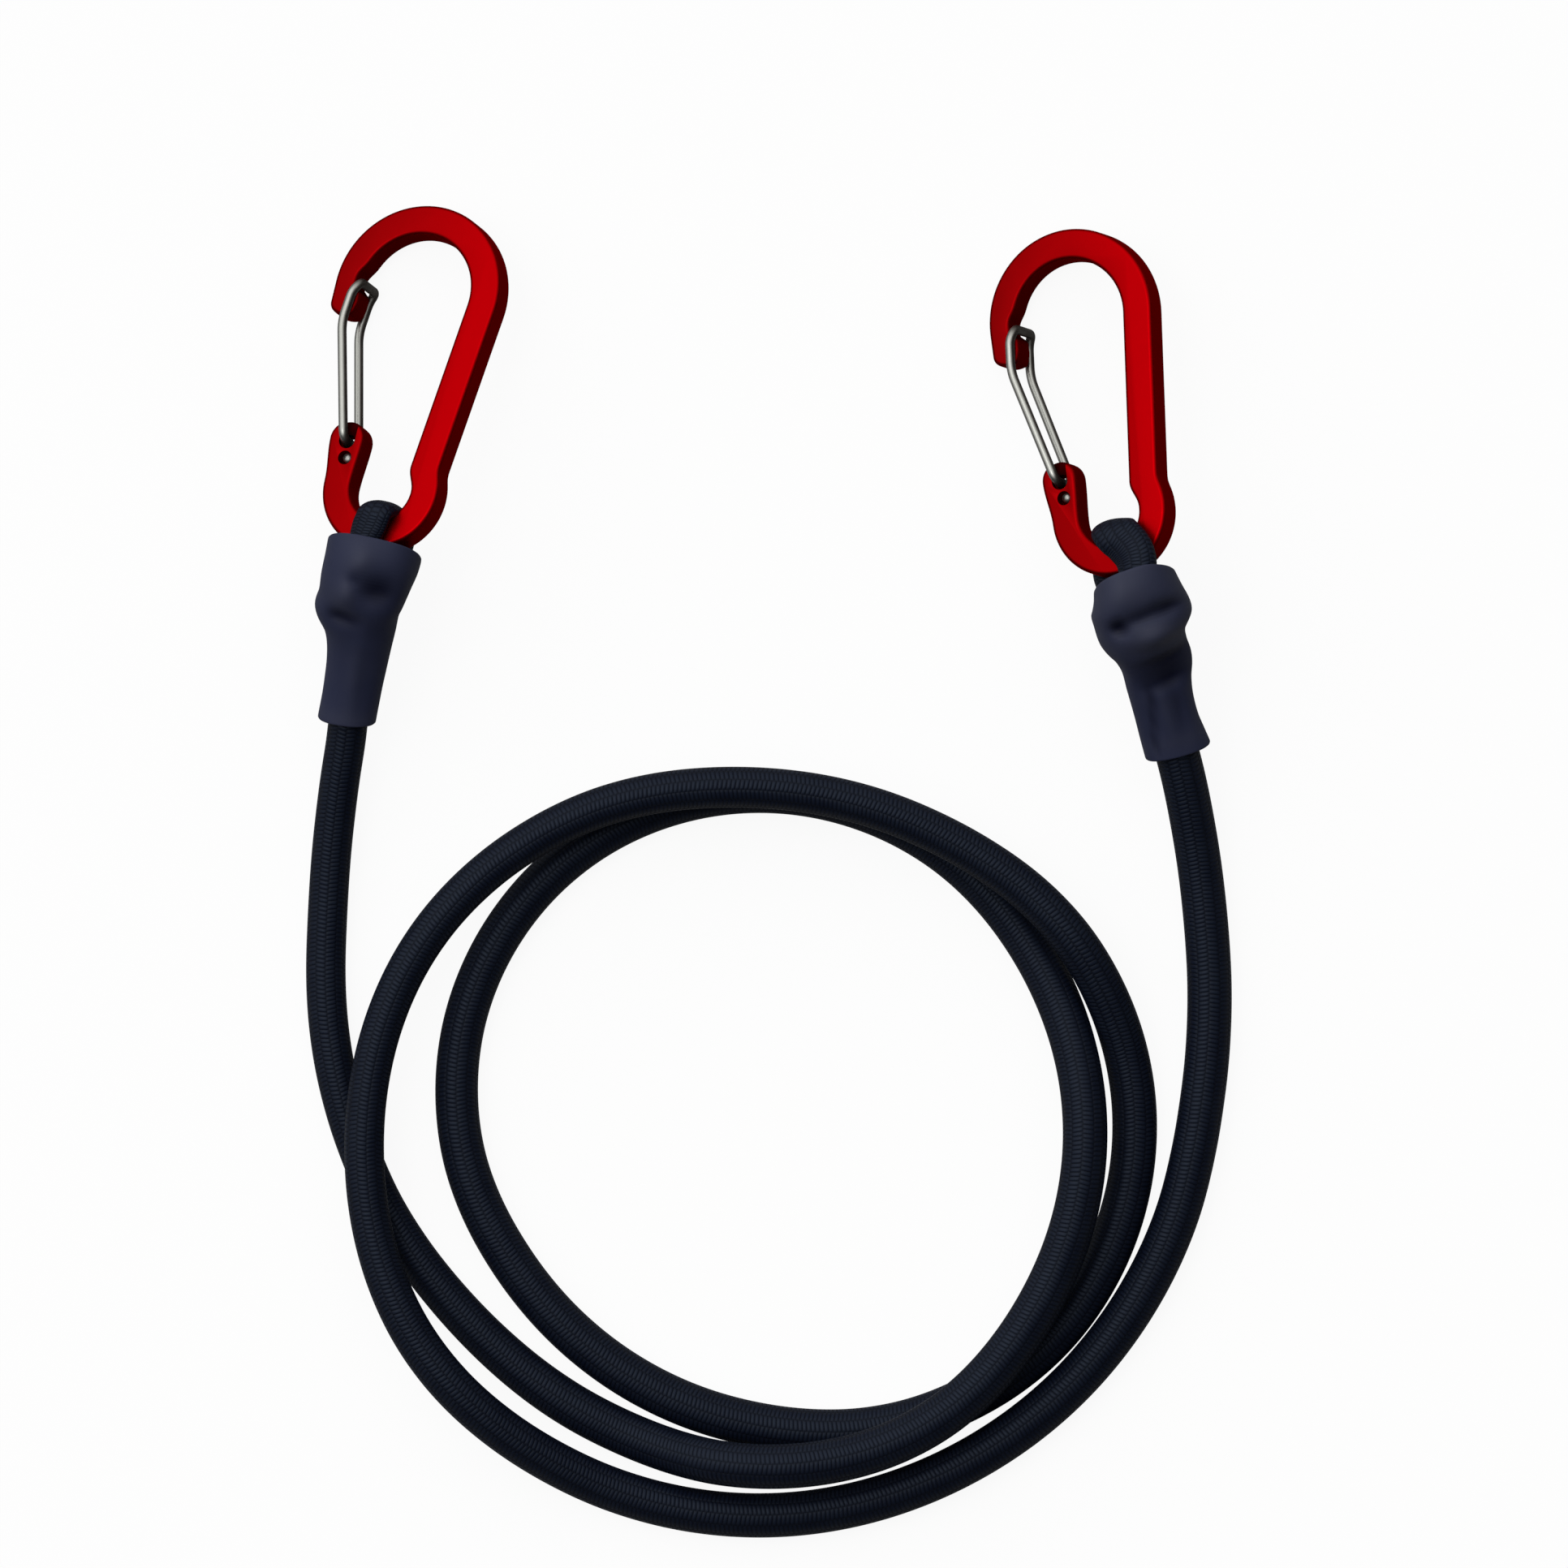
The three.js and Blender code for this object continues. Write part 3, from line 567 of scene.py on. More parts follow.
class End:  # the places along one end of the cord, all in mm in the frame
    def __init__(self, settings):
        self.set = settings
        turn = Matrix.Rotation(math.radians(settings["yaw"]), 3, "Z")
        turn = turn @ Matrix.Rotation(math.radians(-layPitch), 3, "X")
        self.turn = turn @ Matrix.Rotation(math.radians(-layRoll), 3, "Y")
        self.basket = Vector(settings["basket"])
        self.bend = settings["eyeClear"] + settings["eyeThick"] / 2
        face = settings["tailFace"]
        strandH = halfBar + self.bend
        self.exit = Vector(settings["sleeveEnd"]) + frameShift
        self.exitWay = Vector(settings["sleeveWay"]).normalized()
        self.tailMouth = self.toTable(settings["tailU"], mouthV, face * strandH)
        self.mainMouth = self.toTable(settings["mainU"], mouthV, -face * strandH)
        self.mouth = (self.tailMouth + self.mainMouth) / 2
        reach = (self.exit - self.mouth).length
        down = self.turn @ Vector((0, -1, 0))
        lead = self.mouth + down * reach * strandSet["axisLead"]
        trail = self.exit - self.exitWay * reach * strandSet["axisTrail"]
        corners = [self.mouth, lead, trail, self.exit]
        steps = strandSet["axisSteps"]
        self.line = []
        for i in range(steps + 1):
            t = i / steps
            weights = ((1 - t) ** 3, 3 * (1 - t) ** 2 * t, 3 * (1 - t) * t * t, t**3)
            self.line.append(sum((c * w for c, w in zip(corners, weights)), Vector()))
        self.travel = [0]
        for a, b in zip(self.line, self.line[1:]):
            self.travel.append(self.travel[-1] + (b - a).length)
        self.length = self.travel[-1]

    def toTable(self, u, v, h):
        return self.basket + self.turn @ Vector((u, v, h))

    def hookPlace(self):
        return Matrix.Translation(self.basket * mm) @ self.turn.to_4x4()

    def axisAt(self, down):  # a place on the sleeve's axis and its direction; straight on past both ends
        if down <= 0:
            way = (self.line[1] - self.line[0]).normalized()
            return self.line[0] + way * down, way
        if down >= self.length:
            way = (self.line[-1] - self.line[-2]).normalized()
            return self.line[-1] + way * (down - self.length), way
        i = next(k for k in range(len(self.travel)) if self.travel[k] >= down)
        a, b = self.line[i - 1], self.line[i]
        t = (down - self.travel[i - 1]) / (self.travel[i] - self.travel[i - 1])
        return a.lerp(b, t), (b - a).normalized()

    def station(self, down):
        at, along = self.axisAt(down)
        alone = part(down, tailLength + fineGap, tailLength + strandSet["aloneBy"])
        widest = (self.tailMouth - self.mouth).length
        close = part(down, 0, strandSet["closeBy"])
        spread = mixNumbers(widest, squeezed + fineGap / 2, close) * (1 - alone)
        tailFrom = (self.tailMouth - self.mouth).normalized()
        tailTo = Vector(self.set["tailWay"]).normalized()
        way = squareTo(tailFrom.lerp(tailTo, part(down, 0, strandSet["turnedBy"])), along)
        middle = self.middleOffset(down, along)
        return at + middle, along, way * spread, mixNumbers(squeezed, cordRadius, alone)

    def middleOffset(self, down, along):  # the strands keep to the middle of the sleeve
        offset = (fromTable(self.set["rightReach"], down) - fromTable(self.set["leftReach"], down)) / 2
        back, clear = (self.length - before for before in strandSet["middleUntil"])
        return rightOf(along) * offset * part(down, 0, strandSet["middleBy"]) * (1 - part(down, back, clear))

    def strand(self, down, sign):
        at, _, spread, _ = self.station(down)
        return at + spread * sign

    def overBar(self, share):
        face = self.set["tailFace"]
        corner = math.pi / 2 * self.bend
        half = halfBar + corner - basketInner - mouthV
        run = half * (1 - 2 * share)
        onTop = min(abs(run), halfBar)
        angle = min(max((abs(run) - halfBar) / self.bend, 0), math.pi / 2)
        down = max(abs(run) - halfBar - corner, 0)
        sway = share - math.sin(4 * math.pi * share) / (4 * math.pi)
        u = mixNumbers(self.set["tailU"], self.set["mainU"], sway)
        sign = (run > 0) - (run < 0)
        out = onTop + self.bend * math.sin(angle)
        crouch = strandSet["crouch"] * (onTop / halfBar) ** 2  # it lies over the bar as an arch
        return self.toTable(u, (self.bend - crouch) * math.cos(angle) - basketInner - down, face * sign * out)


layout = {side: End(settings) for side, settings in ends.items()}


# The cord's route, in mm: out of the left sleeve, round the coil and back up to the right sleeve. The coil's
# radii are a station apart, and a climb is an angle where it starts, one where it ends, and up or down.
cordSet = {
    "sides": 32,
    "step": 0.9,
    "underside": 0.02,
    "coilCentre": (-0.9, -80),
    "coilFrom": 180,
    "coilTo": 1080,
    "firstStation": 150,
    "radii": [
        58.6, 49.1, 42.1, 39.75, 40.35, 41.2, 40.4, 40.45, 40.85, 42, 42.2, 41.2,
        39, 36.1, 33.3, 33.05, 35.3, 40, 44.45, 46.55, 45.95, 43.25, 42.7, 44.9,
        47.05, 47.75, 48.3, 46.85, 46.45, 47.4, 50.1, 54.1, 58.6,
    ],
    "climbs": [(246, 272, 1), (352, 406, -1), (726, 754, 1), (935, 975, -1)],
    "low": 2.0,
    "high": 7.55,
    "straightEnd": 2.3,
    "leftRoute": [
        (-51.5, -35.3, 5), (-52.7, -45.2, 2.8), (-53.3, -55.2, 2.05), (-53.42, -60.3, 2),
        (-53.2, -65.2, 2), (-52.65, -69.6, 2), (-51.95, -73.3, 2),
    ],
    "rightRoute": [
        (54.22, -73.1, 2), (54.62, -68.6, 2), (54.8, -62.2, 2), (54.45, -55.2, 2.05),
        (53.5, -46.5, 2.8), (52.1, -38.6, 5),
    ],
    "ease": 4,
    "fullness": [  # the slack sheath is a little fuller in some stretches: mm along, mm of radius
        (0, 2.42), (50, 2.44), (72, 2.52), (92, 2.7), (102, 2.74), (202, 2.74), (232, 2.65),
        (262, 2.58), (282, 2.55), (312, 2.63), (332, 2.74), (440, 2.74), (462, 2.62), (482, 2.5),
        (512, 2.5), (542, 2.4), (572, 2.42), (592, 2.48), (612, 2.62), (652, 2.72), (778, 2.72),
    ],
    "stationStep": 30,
    "lapSteps": 96,
    "tucked": 3,
    "declaredWide": 5.2,
}


def coilPoint(angle):  # a smooth curve through the radii, lifted where the cord lies on itself
    radii = cordSet["radii"]
    place = (angle - cordSet["firstStation"]) / cordSet["stationStep"]
    i = min(max(math.floor(place), 1), len(radii) - 3)
    t = place - i
    a, b, c, d = radii[i - 1 : i + 3]
    radius = b + 0.5 * t * (c - a + t * (2 * a - 5 * b + 4 * c - d + t * (3 * (b - c) + d - a)))
    lift = sum(sign * part(angle, start, end) for start, end, sign in cordSet["climbs"])
    turned = math.radians(angle)
    x = cordSet["coilCentre"][0] + radius * math.cos(turned)
    y = cordSet["coilCentre"][1] + radius * math.sin(turned)
    return Vector((x, y, mixNumbers(cordSet["low"], cordSet["high"], lift))) + frameShift


def throughPoints(points, step):  # a centripetal curve through the points, evenly spaced
    line = []
    padded = [points[0] * 2 - points[1], *points, points[-1] * 2 - points[-2]]
    for p0, p1, p2, p3 in zip(padded, padded[1:], padded[2:], padded[3:]):
        t1 = math.sqrt((p1 - p0).length)
        t2 = t1 + math.sqrt((p2 - p1).length)
        t3 = t2 + math.sqrt((p3 - p2).length)
        pieces = max(2, round((p2 - p1).length / step))
        for k in range(pieces):
            t = t1 + (t2 - t1) * k / pieces
            a1 = p0 * ((t1 - t) / t1) + p1 * (t / t1)
            a2 = p1 * ((t2 - t) / (t2 - t1)) + p2 * ((t - t1) / (t2 - t1))
            a3 = p2 * ((t3 - t) / (t3 - t2)) + p3 * ((t - t2) / (t3 - t2))
            b1 = a1 * ((t2 - t) / t2) + a2 * (t / t2)
            b2 = a2 * ((t3 - t) / (t3 - t1)) + a3 * ((t - t1) / (t3 - t1))
            line.append(b1 * ((t2 - t) / (t2 - t1)) + b2 * ((t - t1) / (t2 - t1)))
    line.append(points[-1].copy())
    return line


def eased(line, reach):  # a stiff rubber core evens out small kinks
    smooth = []
    for i in range(len(line)):
        span = min(reach, i, len(line) - 1 - i)
        near = [line[i + k] * (span + 1 - abs(k)) for k in range(-span, span + 1)]
        smooth.append(sum(near, Vector()) / (span + 1) ** 2)
    return smooth


def cordRoute():
    left, right = layout["left"], layout["right"]
    leftRoute = [Vector(p) + frameShift for p in cordSet["leftRoute"]]
    rightRoute = [Vector(p) + frameShift for p in cordSet["rightRoute"]]
    span, steps = cordSet["coilTo"] - cordSet["coilFrom"], cordSet["lapSteps"]
    laps = [coilPoint(cordSet["coilFrom"] + span * i / steps) for i in range(steps + 1)]
    into = (laps[0] - coilPoint(cordSet["coilFrom"] + 1)).normalized()
    out = (laps[-1] - coilPoint(cordSet["coilTo"] - 1)).normalized()
    reach, tucked = cordSet["straightEnd"], cordSet["tucked"]
    points = [left.axisAt(left.length - tucked)[0], left.exit, left.exit + left.exitWay * cordRadius]
    points += [*leftRoute, laps[0] + into * reach, *laps, laps[-1] + out * reach, *rightRoute]
    points += [right.exit + right.exitWay * cordRadius, right.exit, right.axisAt(right.length - tucked)[0]]
    return eased(throughPoints(points, cordSet["step"]), cordSet["ease"])


# Rings along a line; sizes holds half the width and half the thickness at each point
def tubeRings(line, firstSide, sizes, sides, turning=True):
    rings, side = [], Vector(firstSide)
    for i, (at, (wide, thick)) in enumerate(zip(line, sizes)):
        along = (line[min(i + 1, len(line) - 1)] - line[max(i - 1, 0)]).normalized()
        side = squareTo(side if turning else Vector(firstSide), along)
        over = along.cross(side)
        ring = []
        for k in range(sides):
            angle = 2 * math.pi * k / sides
            ring.append(at + side * wide * math.cos(angle) + over * thick * math.sin(angle))
        rings.append(ring)
    return rings


route = cordRoute()
travelled = [0]
for a, b in zip(route, route[1:]):
    travelled.append(travelled[-1] + (b - a).length)
full = [fromTable(cordSet["fullness"], place) for place in travelled]
cordRings = tubeRings(route, (0, 0, 1), zip(full, full), cordSet["sides"])
for ring in cordRings:
    for p in ring:
        p.z = max(p.z, cordSet["underside"])  # its own weight presses it flat on the table
stitches = (braidSet["columns"], 1 / braidSet["stitch"])
cord = skinRings("bungee_cord", cordRings, stitches)
finishPiece(cord, cordBraid, "cord", ["cord_left_end", "cord_coil", "cord_right_end"])
[tuple(p * mm) for p in route]


# The eye: the cord's end pressed over the bar, its two strands going down into the sleeve
eyeSet = {
    "step": 0.4,
    "barSteps": 64,
    "sides": 32,
    "endsAbove": 3.2,
    "roundBy": (-0.5, 2),
}


def buildEye(side):
    end = layout[side]
    mouthHalf, eyeHalf = end.set["mouthWidth"] / 2, end.set["eyeWidth"] / 2
    step, steps = eyeSet["step"], eyeSet["barSteps"]
    line, sizes = [], []
    for k in range(int(tailLength / step)):
        line.append(end.strand(tailLength - step * k, 1))
        sizes.append((squeezed, squeezed))
    for i in range(steps + 1):
        share = i / steps
        line.append(end.overBar(share))
        press = min(1, 2 * math.sin(math.pi * share))
        wide = mixNumbers(squeezed if share < 0.5 else mouthHalf, eyeHalf, press)
        sizes.append((wide, mixNumbers(squeezed, end.set["eyeThick"] / 2, press)))
    down = step
    while down < end.length - eyeSet["endsAbove"]:
        radius = end.station(down)[3]
        line.append(end.strand(down, -1))
        sizes.append((mixNumbers(mouthHalf, radius, part(down, *eyeSet["roundBy"])), radius))
        down += step
    rings = tubeRings(line, end.turn @ Vector((1, 0, 0)), sizes, eyeSet["sides"], turning=False)
    eye = skinRings(f"{side}_eye", rings, (braidSet["columns"], 1 / braidSet["eyeStitch"]))
    finishPiece(eye, cordBraid, "cord", [f"{side}_cord_eye"])


# The sleeve: rings that reach left, right, front and back as far as the shrunk tube does
def dentLift(end, down, across):
    return sum(
        depth * bump(down, middle, longWidth) * bump(across, off, wideWidth)
        for middle, off, depth, longWidth, wideWidth in end.set["dents"]
    )


def sleeveRing(end, down, inset, sides):
    at, along = end.axisAt(down)
    right = rightOf(along)
    front = right.cross(along).normalized()
    if front.z < 0:
        front = -front
    reaches = ("leftReach", "rightReach", "frontReach", "backReach")
    leftward, rightward, forward, backward = (fromTable(end.set[key], down) - inset for key in reaches)
    slant = end.set["mouthSlant"] * (1 - part(down, 0, sleeveSet["slantBy"]))
    # squarer round the two strands than round one
    boxy = mixNumbers(sleeveSet["boxyMouth"], sleeveSet["boxyEnd"], part(down, *sleeveSet["boxyBy"]))
    ring = []
    for k in range(sides):
        angle = 2 * math.pi * k / sides
        c, s = math.cos(angle), math.sin(angle)
        x = (rightward if c > 0 else leftward) * math.copysign(abs(c) ** boxy, c)
        z = (forward if s > 0 else backward) * math.copysign(abs(s) ** boxy, s)
        z += dentLift(end, down, x) * part(s, 0, sleeveSet["dentFade"])
        ring.append(at + right * x + front * z + along * slant * max(sleeveSet["slantFrom"] - x, 0))
    return ring


def buildSleeve(side):
    end = layout[side]
    start, steps = end.set["start"], sleeveSet["steps"]
    downs = [start + (end.length - start) * i / steps for i in range(steps + 1)]
    rings = [sleeveRing(end, down, 0, sleeveSet["sides"]) for down in downs]
    sleeve = skinRings(f"{side}_shrink_sleeve", rings, capped=False)
    applyModifier(sleeve, "SOLIDIFY", thickness=sleeveSet["wall"] * mm, offset=-1, use_even_offset=True)
    applyModifier(sleeve, "SUBSURF", levels=1, render_levels=1)
    paleAndBumpHighlight, hollow = pointValues(sleeve, "paleAndBumpHighlight", "hollow")
    ringAt, ringWide, ringPale = sleeveSet["paleRing"]
    stations = [(down, *end.axisAt(down)) for down in downs]
    for vertex, light, dentShadeValue in zip(sleeve.data.vertices, paleAndBumpHighlight, hollow):
        p = vertex.co / mm
        down, at, along = min(stations, key=lambda station: abs((p - station[1]).dot(station[2])))
        lift = dentLift(end, down, (p - at).dot(rightOf(along))) if (p - at).z > 0 else 0
        pale = bump(down, ringAt, ringWide) * ringPale + end.set["grey"] * bump(down, *sleeveSet["greyMouth"])
        # painted highlight where a bump stands out, plus the paler ring and mouth
        light.value = min(max(lift * sleeveSet["bumpHighlightBy"], 0), 1) + pale
        # painted shade, deeper in deeper dents
        dentShadeValue.value = min(max(-lift * sleeveSet["dentShadeBy"], 0), sleeveSet["darkest"])
    finishPiece(sleeve, shrinkTube, "cord", [f"{side}_sleeve"])


def buildCrimp(side):
    end, steps = layout[side], crimpSet["steps"]
    downs = [crimpSet["from"] + crimpSet["long"] * i / steps for i in range(steps + 1)]
    outer, inner = (
        [sleeveRing(end, down, inset, crimpSet["sides"]) for down in downs]
        for inset in (crimpSet["under"], crimpSet["under"] + crimpSet["wall"])
    )
    crimp = skinRings(f"{side}_crimp", [*outer, *reversed(inner), outer[0]], capped=False)
    applyModifier(crimp, "WELD", merge_threshold=0.01 * mm)
    finishPiece(crimp, crimpSteel, "cord", [f"{side}_crimp_ring"])


for side in ends:
    buildEye(side)
    buildSleeve(side)
    buildCrimp(side)
print("bungee cord: eyes, sleeves and crimps made")


# Hook body: the outline of crown, spine, basket, lug and nose, in mm in the hook's own frame
hookShape = {
    "rimRound": 0.55,
    "crownRadius": 11,
    "crownWidth": 3.72,
    "spineWidth": 3.95,
    "noseRootWidth": 3.45,
    "crown": (-1.55, 25),
    "lean": 6.2,
    "basketRadius": 7.7,
    "shoulderRise": 3.9,
    "shoulderRound": 1.25,
    "noseDrop": 2.7,
    "noseTip": 1.3,
    "noseHook": 0.8,
    "noseRoot": 155,
    "tipWay": (-1, -0.3),
    "catch": [
        (-9.74, 25.1), (-9.68, 24.75), (-9.1, 24.2), (-8.84, 23.75),
        (-8.83, 22.6), (-9.08, 21.5), (-9.5, 20.9),
    ],
    "lug": (-6, 5.45),
    "lugRadius": 2.3,
    "upperHole": (-5.845, 5.25),
    "lowerHole": (-5.595, 3.05),
    "holeRadius": 0.88,
    "slotDepth": 0.8,
    "slotWidth": 2.1,
    "edgeBreak": 0.13,
    "sharp": 50,
    "smooth": 32,
    "rimSteps": 7,
    "edgeSteps": 2,
    "holeSides": 40,
    "closest": 0.02,
    "pitShadeOut": 0.1,
    "pitShadeDown": 0.2,
    "pitShadeFoot": 1.1,
    "noseShadeFrom": -11.5,
    "noseShadeOver": 18,
}


def arcPoints(centre, radius, start, end, steps):
    line = []
    for i in range(steps + 1):
        angle = start + (end - start) * i / steps
        line.append(Vector((centre[0] + radius * math.cos(angle), centre[1] + radius * math.sin(angle))))
    return line


def joinPoints(start, startWay, end, endWay, reach, steps=10):
    first, second = start + startWay * reach, end - endWay * reach
    line = []
    for i in range(steps + 1):
        t = i / steps
        line.append(
            start * (1 - t) ** 3 + first * 3 * (1 - t) ** 2 * t + second * 3 * (1 - t) * t * t + end * t**3
        )
    return line


def hookOutline():
    s = hookShape
    crown, lug = Vector(s["crown"]), Vector(s["lug"])
    inner = s["crownRadius"] - (s["spineWidth"] + s["noseRootWidth"]) / 2
    shift = (s["noseRootWidth"] - s["spineWidth"]) / 2
    rise = (s["spineWidth"] + s["noseRootWidth"]) / 2 - s["crownWidth"]
    crownEye = crown + Vector((shift, rise))
    lean = math.radians(s["lean"])
    noseEnd = Vector((crown.x - s["crownRadius"] + s["noseTip"], crown.y - s["noseDrop"]))
    down = Vector((-math.sin(lean), -math.cos(lean)))
    straightUp, straightDown = Vector((0, 1)), Vector((0, -1))
    outerTop = arcPoints(crown, s["crownRadius"], -lean, -lean, 1)[0]
    innerTop = arcPoints(crownEye, inner, -lean, -lean, 1)[0]
    outerRun = (outerTop.y - s["shoulderRise"]) / math.cos(lean)
    innerRun = (innerTop.y - s["shoulderRise"] + s["shoulderRound"] / 2) / math.cos(lean)
    shoulderOuter, shoulderInner = outerTop + down * outerRun, innerTop + down * innerRun
    origin = Vector((0, 0))
    basketStart = math.asin(s["shoulderRound"] / s["basketRadius"])
    basketOuter = arcPoints(origin, s["basketRadius"], basketStart, basketStart, 1)[0]
    intoBasket = Vector((math.sin(basketStart), -math.cos(basketStart)))
    noseRoot = math.radians(s["noseRoot"])
    noseRootPoint = arcPoints(crownEye, inner, noseRoot, noseRoot, 1)[0]
    intoNose = Vector((-math.sin(noseRoot), math.cos(noseRoot)))
    catch = [Vector(p) for p in s["catch"]]
    outline = [Vector((noseEnd.x - s["noseTip"], noseEnd.y))]
    outline += arcPoints(crown, s["crownRadius"], math.pi, -lean, 64)
    outline += joinPoints(shoulderOuter, down, basketOuter, intoBasket, s["shoulderRound"])
    outline += arcPoints(origin, s["basketRadius"], basketStart, -math.pi, 56)
    lugLeft, lugRight = lug - Vector((s["lugRadius"], 0)), lug + Vector((s["lugRadius"], 0))
    outline += joinPoints(Vector((-s["basketRadius"], 0)), straightUp, lugLeft, straightUp, s["lug"][1] / 3)
    outline += arcPoints(lug, s["lugRadius"], math.pi, 0, 28)
    outline += joinPoints(lugRight, straightDown, Vector((-basketInner, 0)), straightDown, s["lug"][1] / 3)
    outline += arcPoints(origin, basketInner, math.pi, 2 * math.pi, 44)
    outline += joinPoints(Vector((basketInner, 0)), straightUp, shoulderInner, -down, s["shoulderRound"])
    outline += arcPoints(crownEye, inner, -lean, noseRoot, 54)
    outline += joinPoints(noseRootPoint, intoNose, catch[0], straightDown, 2 * s["noseHook"])
    outline += catch
    outline += joinPoints(catch[-1], Vector(s["tipWay"]), outline[0], straightUp, s["noseTip"], 16)[1:]
    kept = []
    for p in outline:
        if not kept or (p - kept[-1]).length > s["closest"]:
            kept.append(p)
    if (kept[0] - kept[-1]).length < s["closest"]:
        kept.pop()
    return kept


def plateFrom(name, outline, low, high):  # a flat ring of vertices moved onto the outline, then extruded
    bpy.ops.object.select_all(action="DESELECT")
    radius = hookShape["crownRadius"] * mm
    bpy.ops.mesh.primitive_circle_add(vertices=len(outline), radius=radius, fill_type="NGON")
    plate = bpy.context.active_object
    plate.name = name
    for vertex, p in zip(plate.data.vertices, outline):
        vertex.co = (p[0] * mm, p[1] * mm, low * mm)
    bpy.ops.object.mode_set(mode="EDIT")
    bpy.ops.mesh.select_all(action="SELECT")
    bpy.ops.mesh.extrude_region_move(TRANSFORM_OT_translate={"value": (0, 0, (high - low) * mm)})
    bpy.ops.mesh.select_all(action="SELECT")
    bpy.ops.mesh.normals_make_consistent(inside=False)
    bpy.ops.object.mode_set(mode="OBJECT")
    return plate


def cutAway(piece, cutter):
    applyModifier(piece, "BOOLEAN", operation="DIFFERENCE", object=cutter, solver="EXACT")
    bpy.data.objects.remove(cutter)


def inShadedPit(p):  # painted shade darkens the holes and slots of the lug, a little below its faces
    s = hookShape
    out = s["pitShadeOut"]
    sunk = abs(p.z) < halfBar - s["pitShadeDown"]
    onLug = p.y < s["lug"][1] + s["lugRadius"] + out
    for hole, face in ((s["upperHole"], 1), (s["lowerHole"], -1)):
        across, up = p.x - hole[0], p.y - hole[1]
        inHole = math.hypot(across, up) < s["holeRadius"] + 2 * out
        inSlot = p.z * face > 0 and abs(across) < s["slotWidth"] / 2 + out and up > -s["pitShadeFoot"]
        if sunk and onLug and (inHole or inSlot):
            return 1
    return 0


def buildHook(side):
    s = hookShape
    hook = plateFrom(f"{side}_hook", hookOutline(), -halfBar, halfBar)
    sharp = {"limit_method": "ANGLE", "angle_limit": math.radians(s["sharp"])}
    applyModifier(
        hook, "BEVEL", width=s["rimRound"] * mm, segments=s["rimSteps"], use_clamp_overlap=False, **sharp
    )
    half, floorAt, clear = s["slotWidth"] / 2, halfBar - s["slotDepth"], 4
    top = s["lug"][1] + 2 * s["lugRadius"]
    for hole, low, high in ((s["upperHole"], floorAt, clear), (s["lowerHole"], -clear, -floorAt)):
        bpy.ops.object.select_all(action="DESELECT")
        bpy.ops.mesh.primitive_cylinder_add(
            vertices=s["holeSides"], radius=s["holeRadius"] * mm, depth=3 * barThickness * mm,
            location=(hole[0] * mm, hole[1] * mm, 0),
        )
        cutAway(hook, bpy.context.active_object)
        slot = arcPoints(hole, half, -math.pi, 0, 20)
        slot += [Vector((hole[0] + half, top)), Vector((hole[0] - half, top))]
        cutAway(hook, plateFrom("slot", slot, low, high))
    applyModifier(
        hook, "BEVEL", width=s["edgeBreak"] * mm, segments=s["edgeSteps"], use_clamp_overlap=True, **sharp
    )
    # per vertex: the walls, which the finish darkens as painted shade; painted shade towards the nose and
    # lug; painted shade in the lug's holes and slots
    for vertex, wall, outOfNoseShade, pitShade in zip(hook.data.vertices, *pointValues(hook, "wall", "outOfNoseShade", "pitShade")):
        p = vertex.co / mm
        wall.value = min(max((halfBar - abs(p.z)) / s["rimRound"], 0), 1) ** 1.3
        outOfNoseShade.value = min(max((p.x - s["noseShadeFrom"]) / s["noseShadeOver"], 0), 1)  # painted shade, darker towards the nose and lug
        pitShade.value = inShadedPit(p)
    hook.data.transform(layout[side].hookPlace())
    select(hook)
    bpy.ops.object.shade_smooth_by_angle(angle=math.radians(s["smooth"]))
    finishPiece(hook, redAnodised, f"{side}_hook", [f"{side}_hook_body"])


# Gate: one wire, bent at the stubs, the cranks and the loop inside the nose
gateSet = {
    "radius": 0.57,
    "stubPast": 1.5,
    "travel": 0.535,
    "legOut": 0.45,
    "slotGap": 0.28,
    "crank": (0.125, -1.25),
    "rise": (0.5, 1.35),
    "loop": (0.45, 2.7),
    "loopNarrow": 0.86,
    "bend": 1.35,
    "bendSteps": 10,
    "sides": 16,
    "flankWay": (0.9, -0.35, 0),
    "flankShadeSpan": (-0.1, 0.4),
    "litFlankSpan": (0.2, 0.9),
    "loopShadeSpan": (1.2, 2.9),
}


def roundCorners(corners, reach, steps):
    line = [corners[0].copy()]
    for before, corner, after in zip(corners, corners[1:], corners[2:]):
        back, ahead = before - corner, after - corner
        cut = min(reach, 0.45 * back.length, 0.45 * ahead.length)
        start, finish = corner + back.normalized() * cut, corner + ahead.normalized() * cut
        for i in range(steps + 1):
            t = i / steps
            line.append(start * (1 - t) ** 2 + corner * 2 * t * (1 - t) + finish * t * t)
    line.append(corners[-1].copy())
    return line


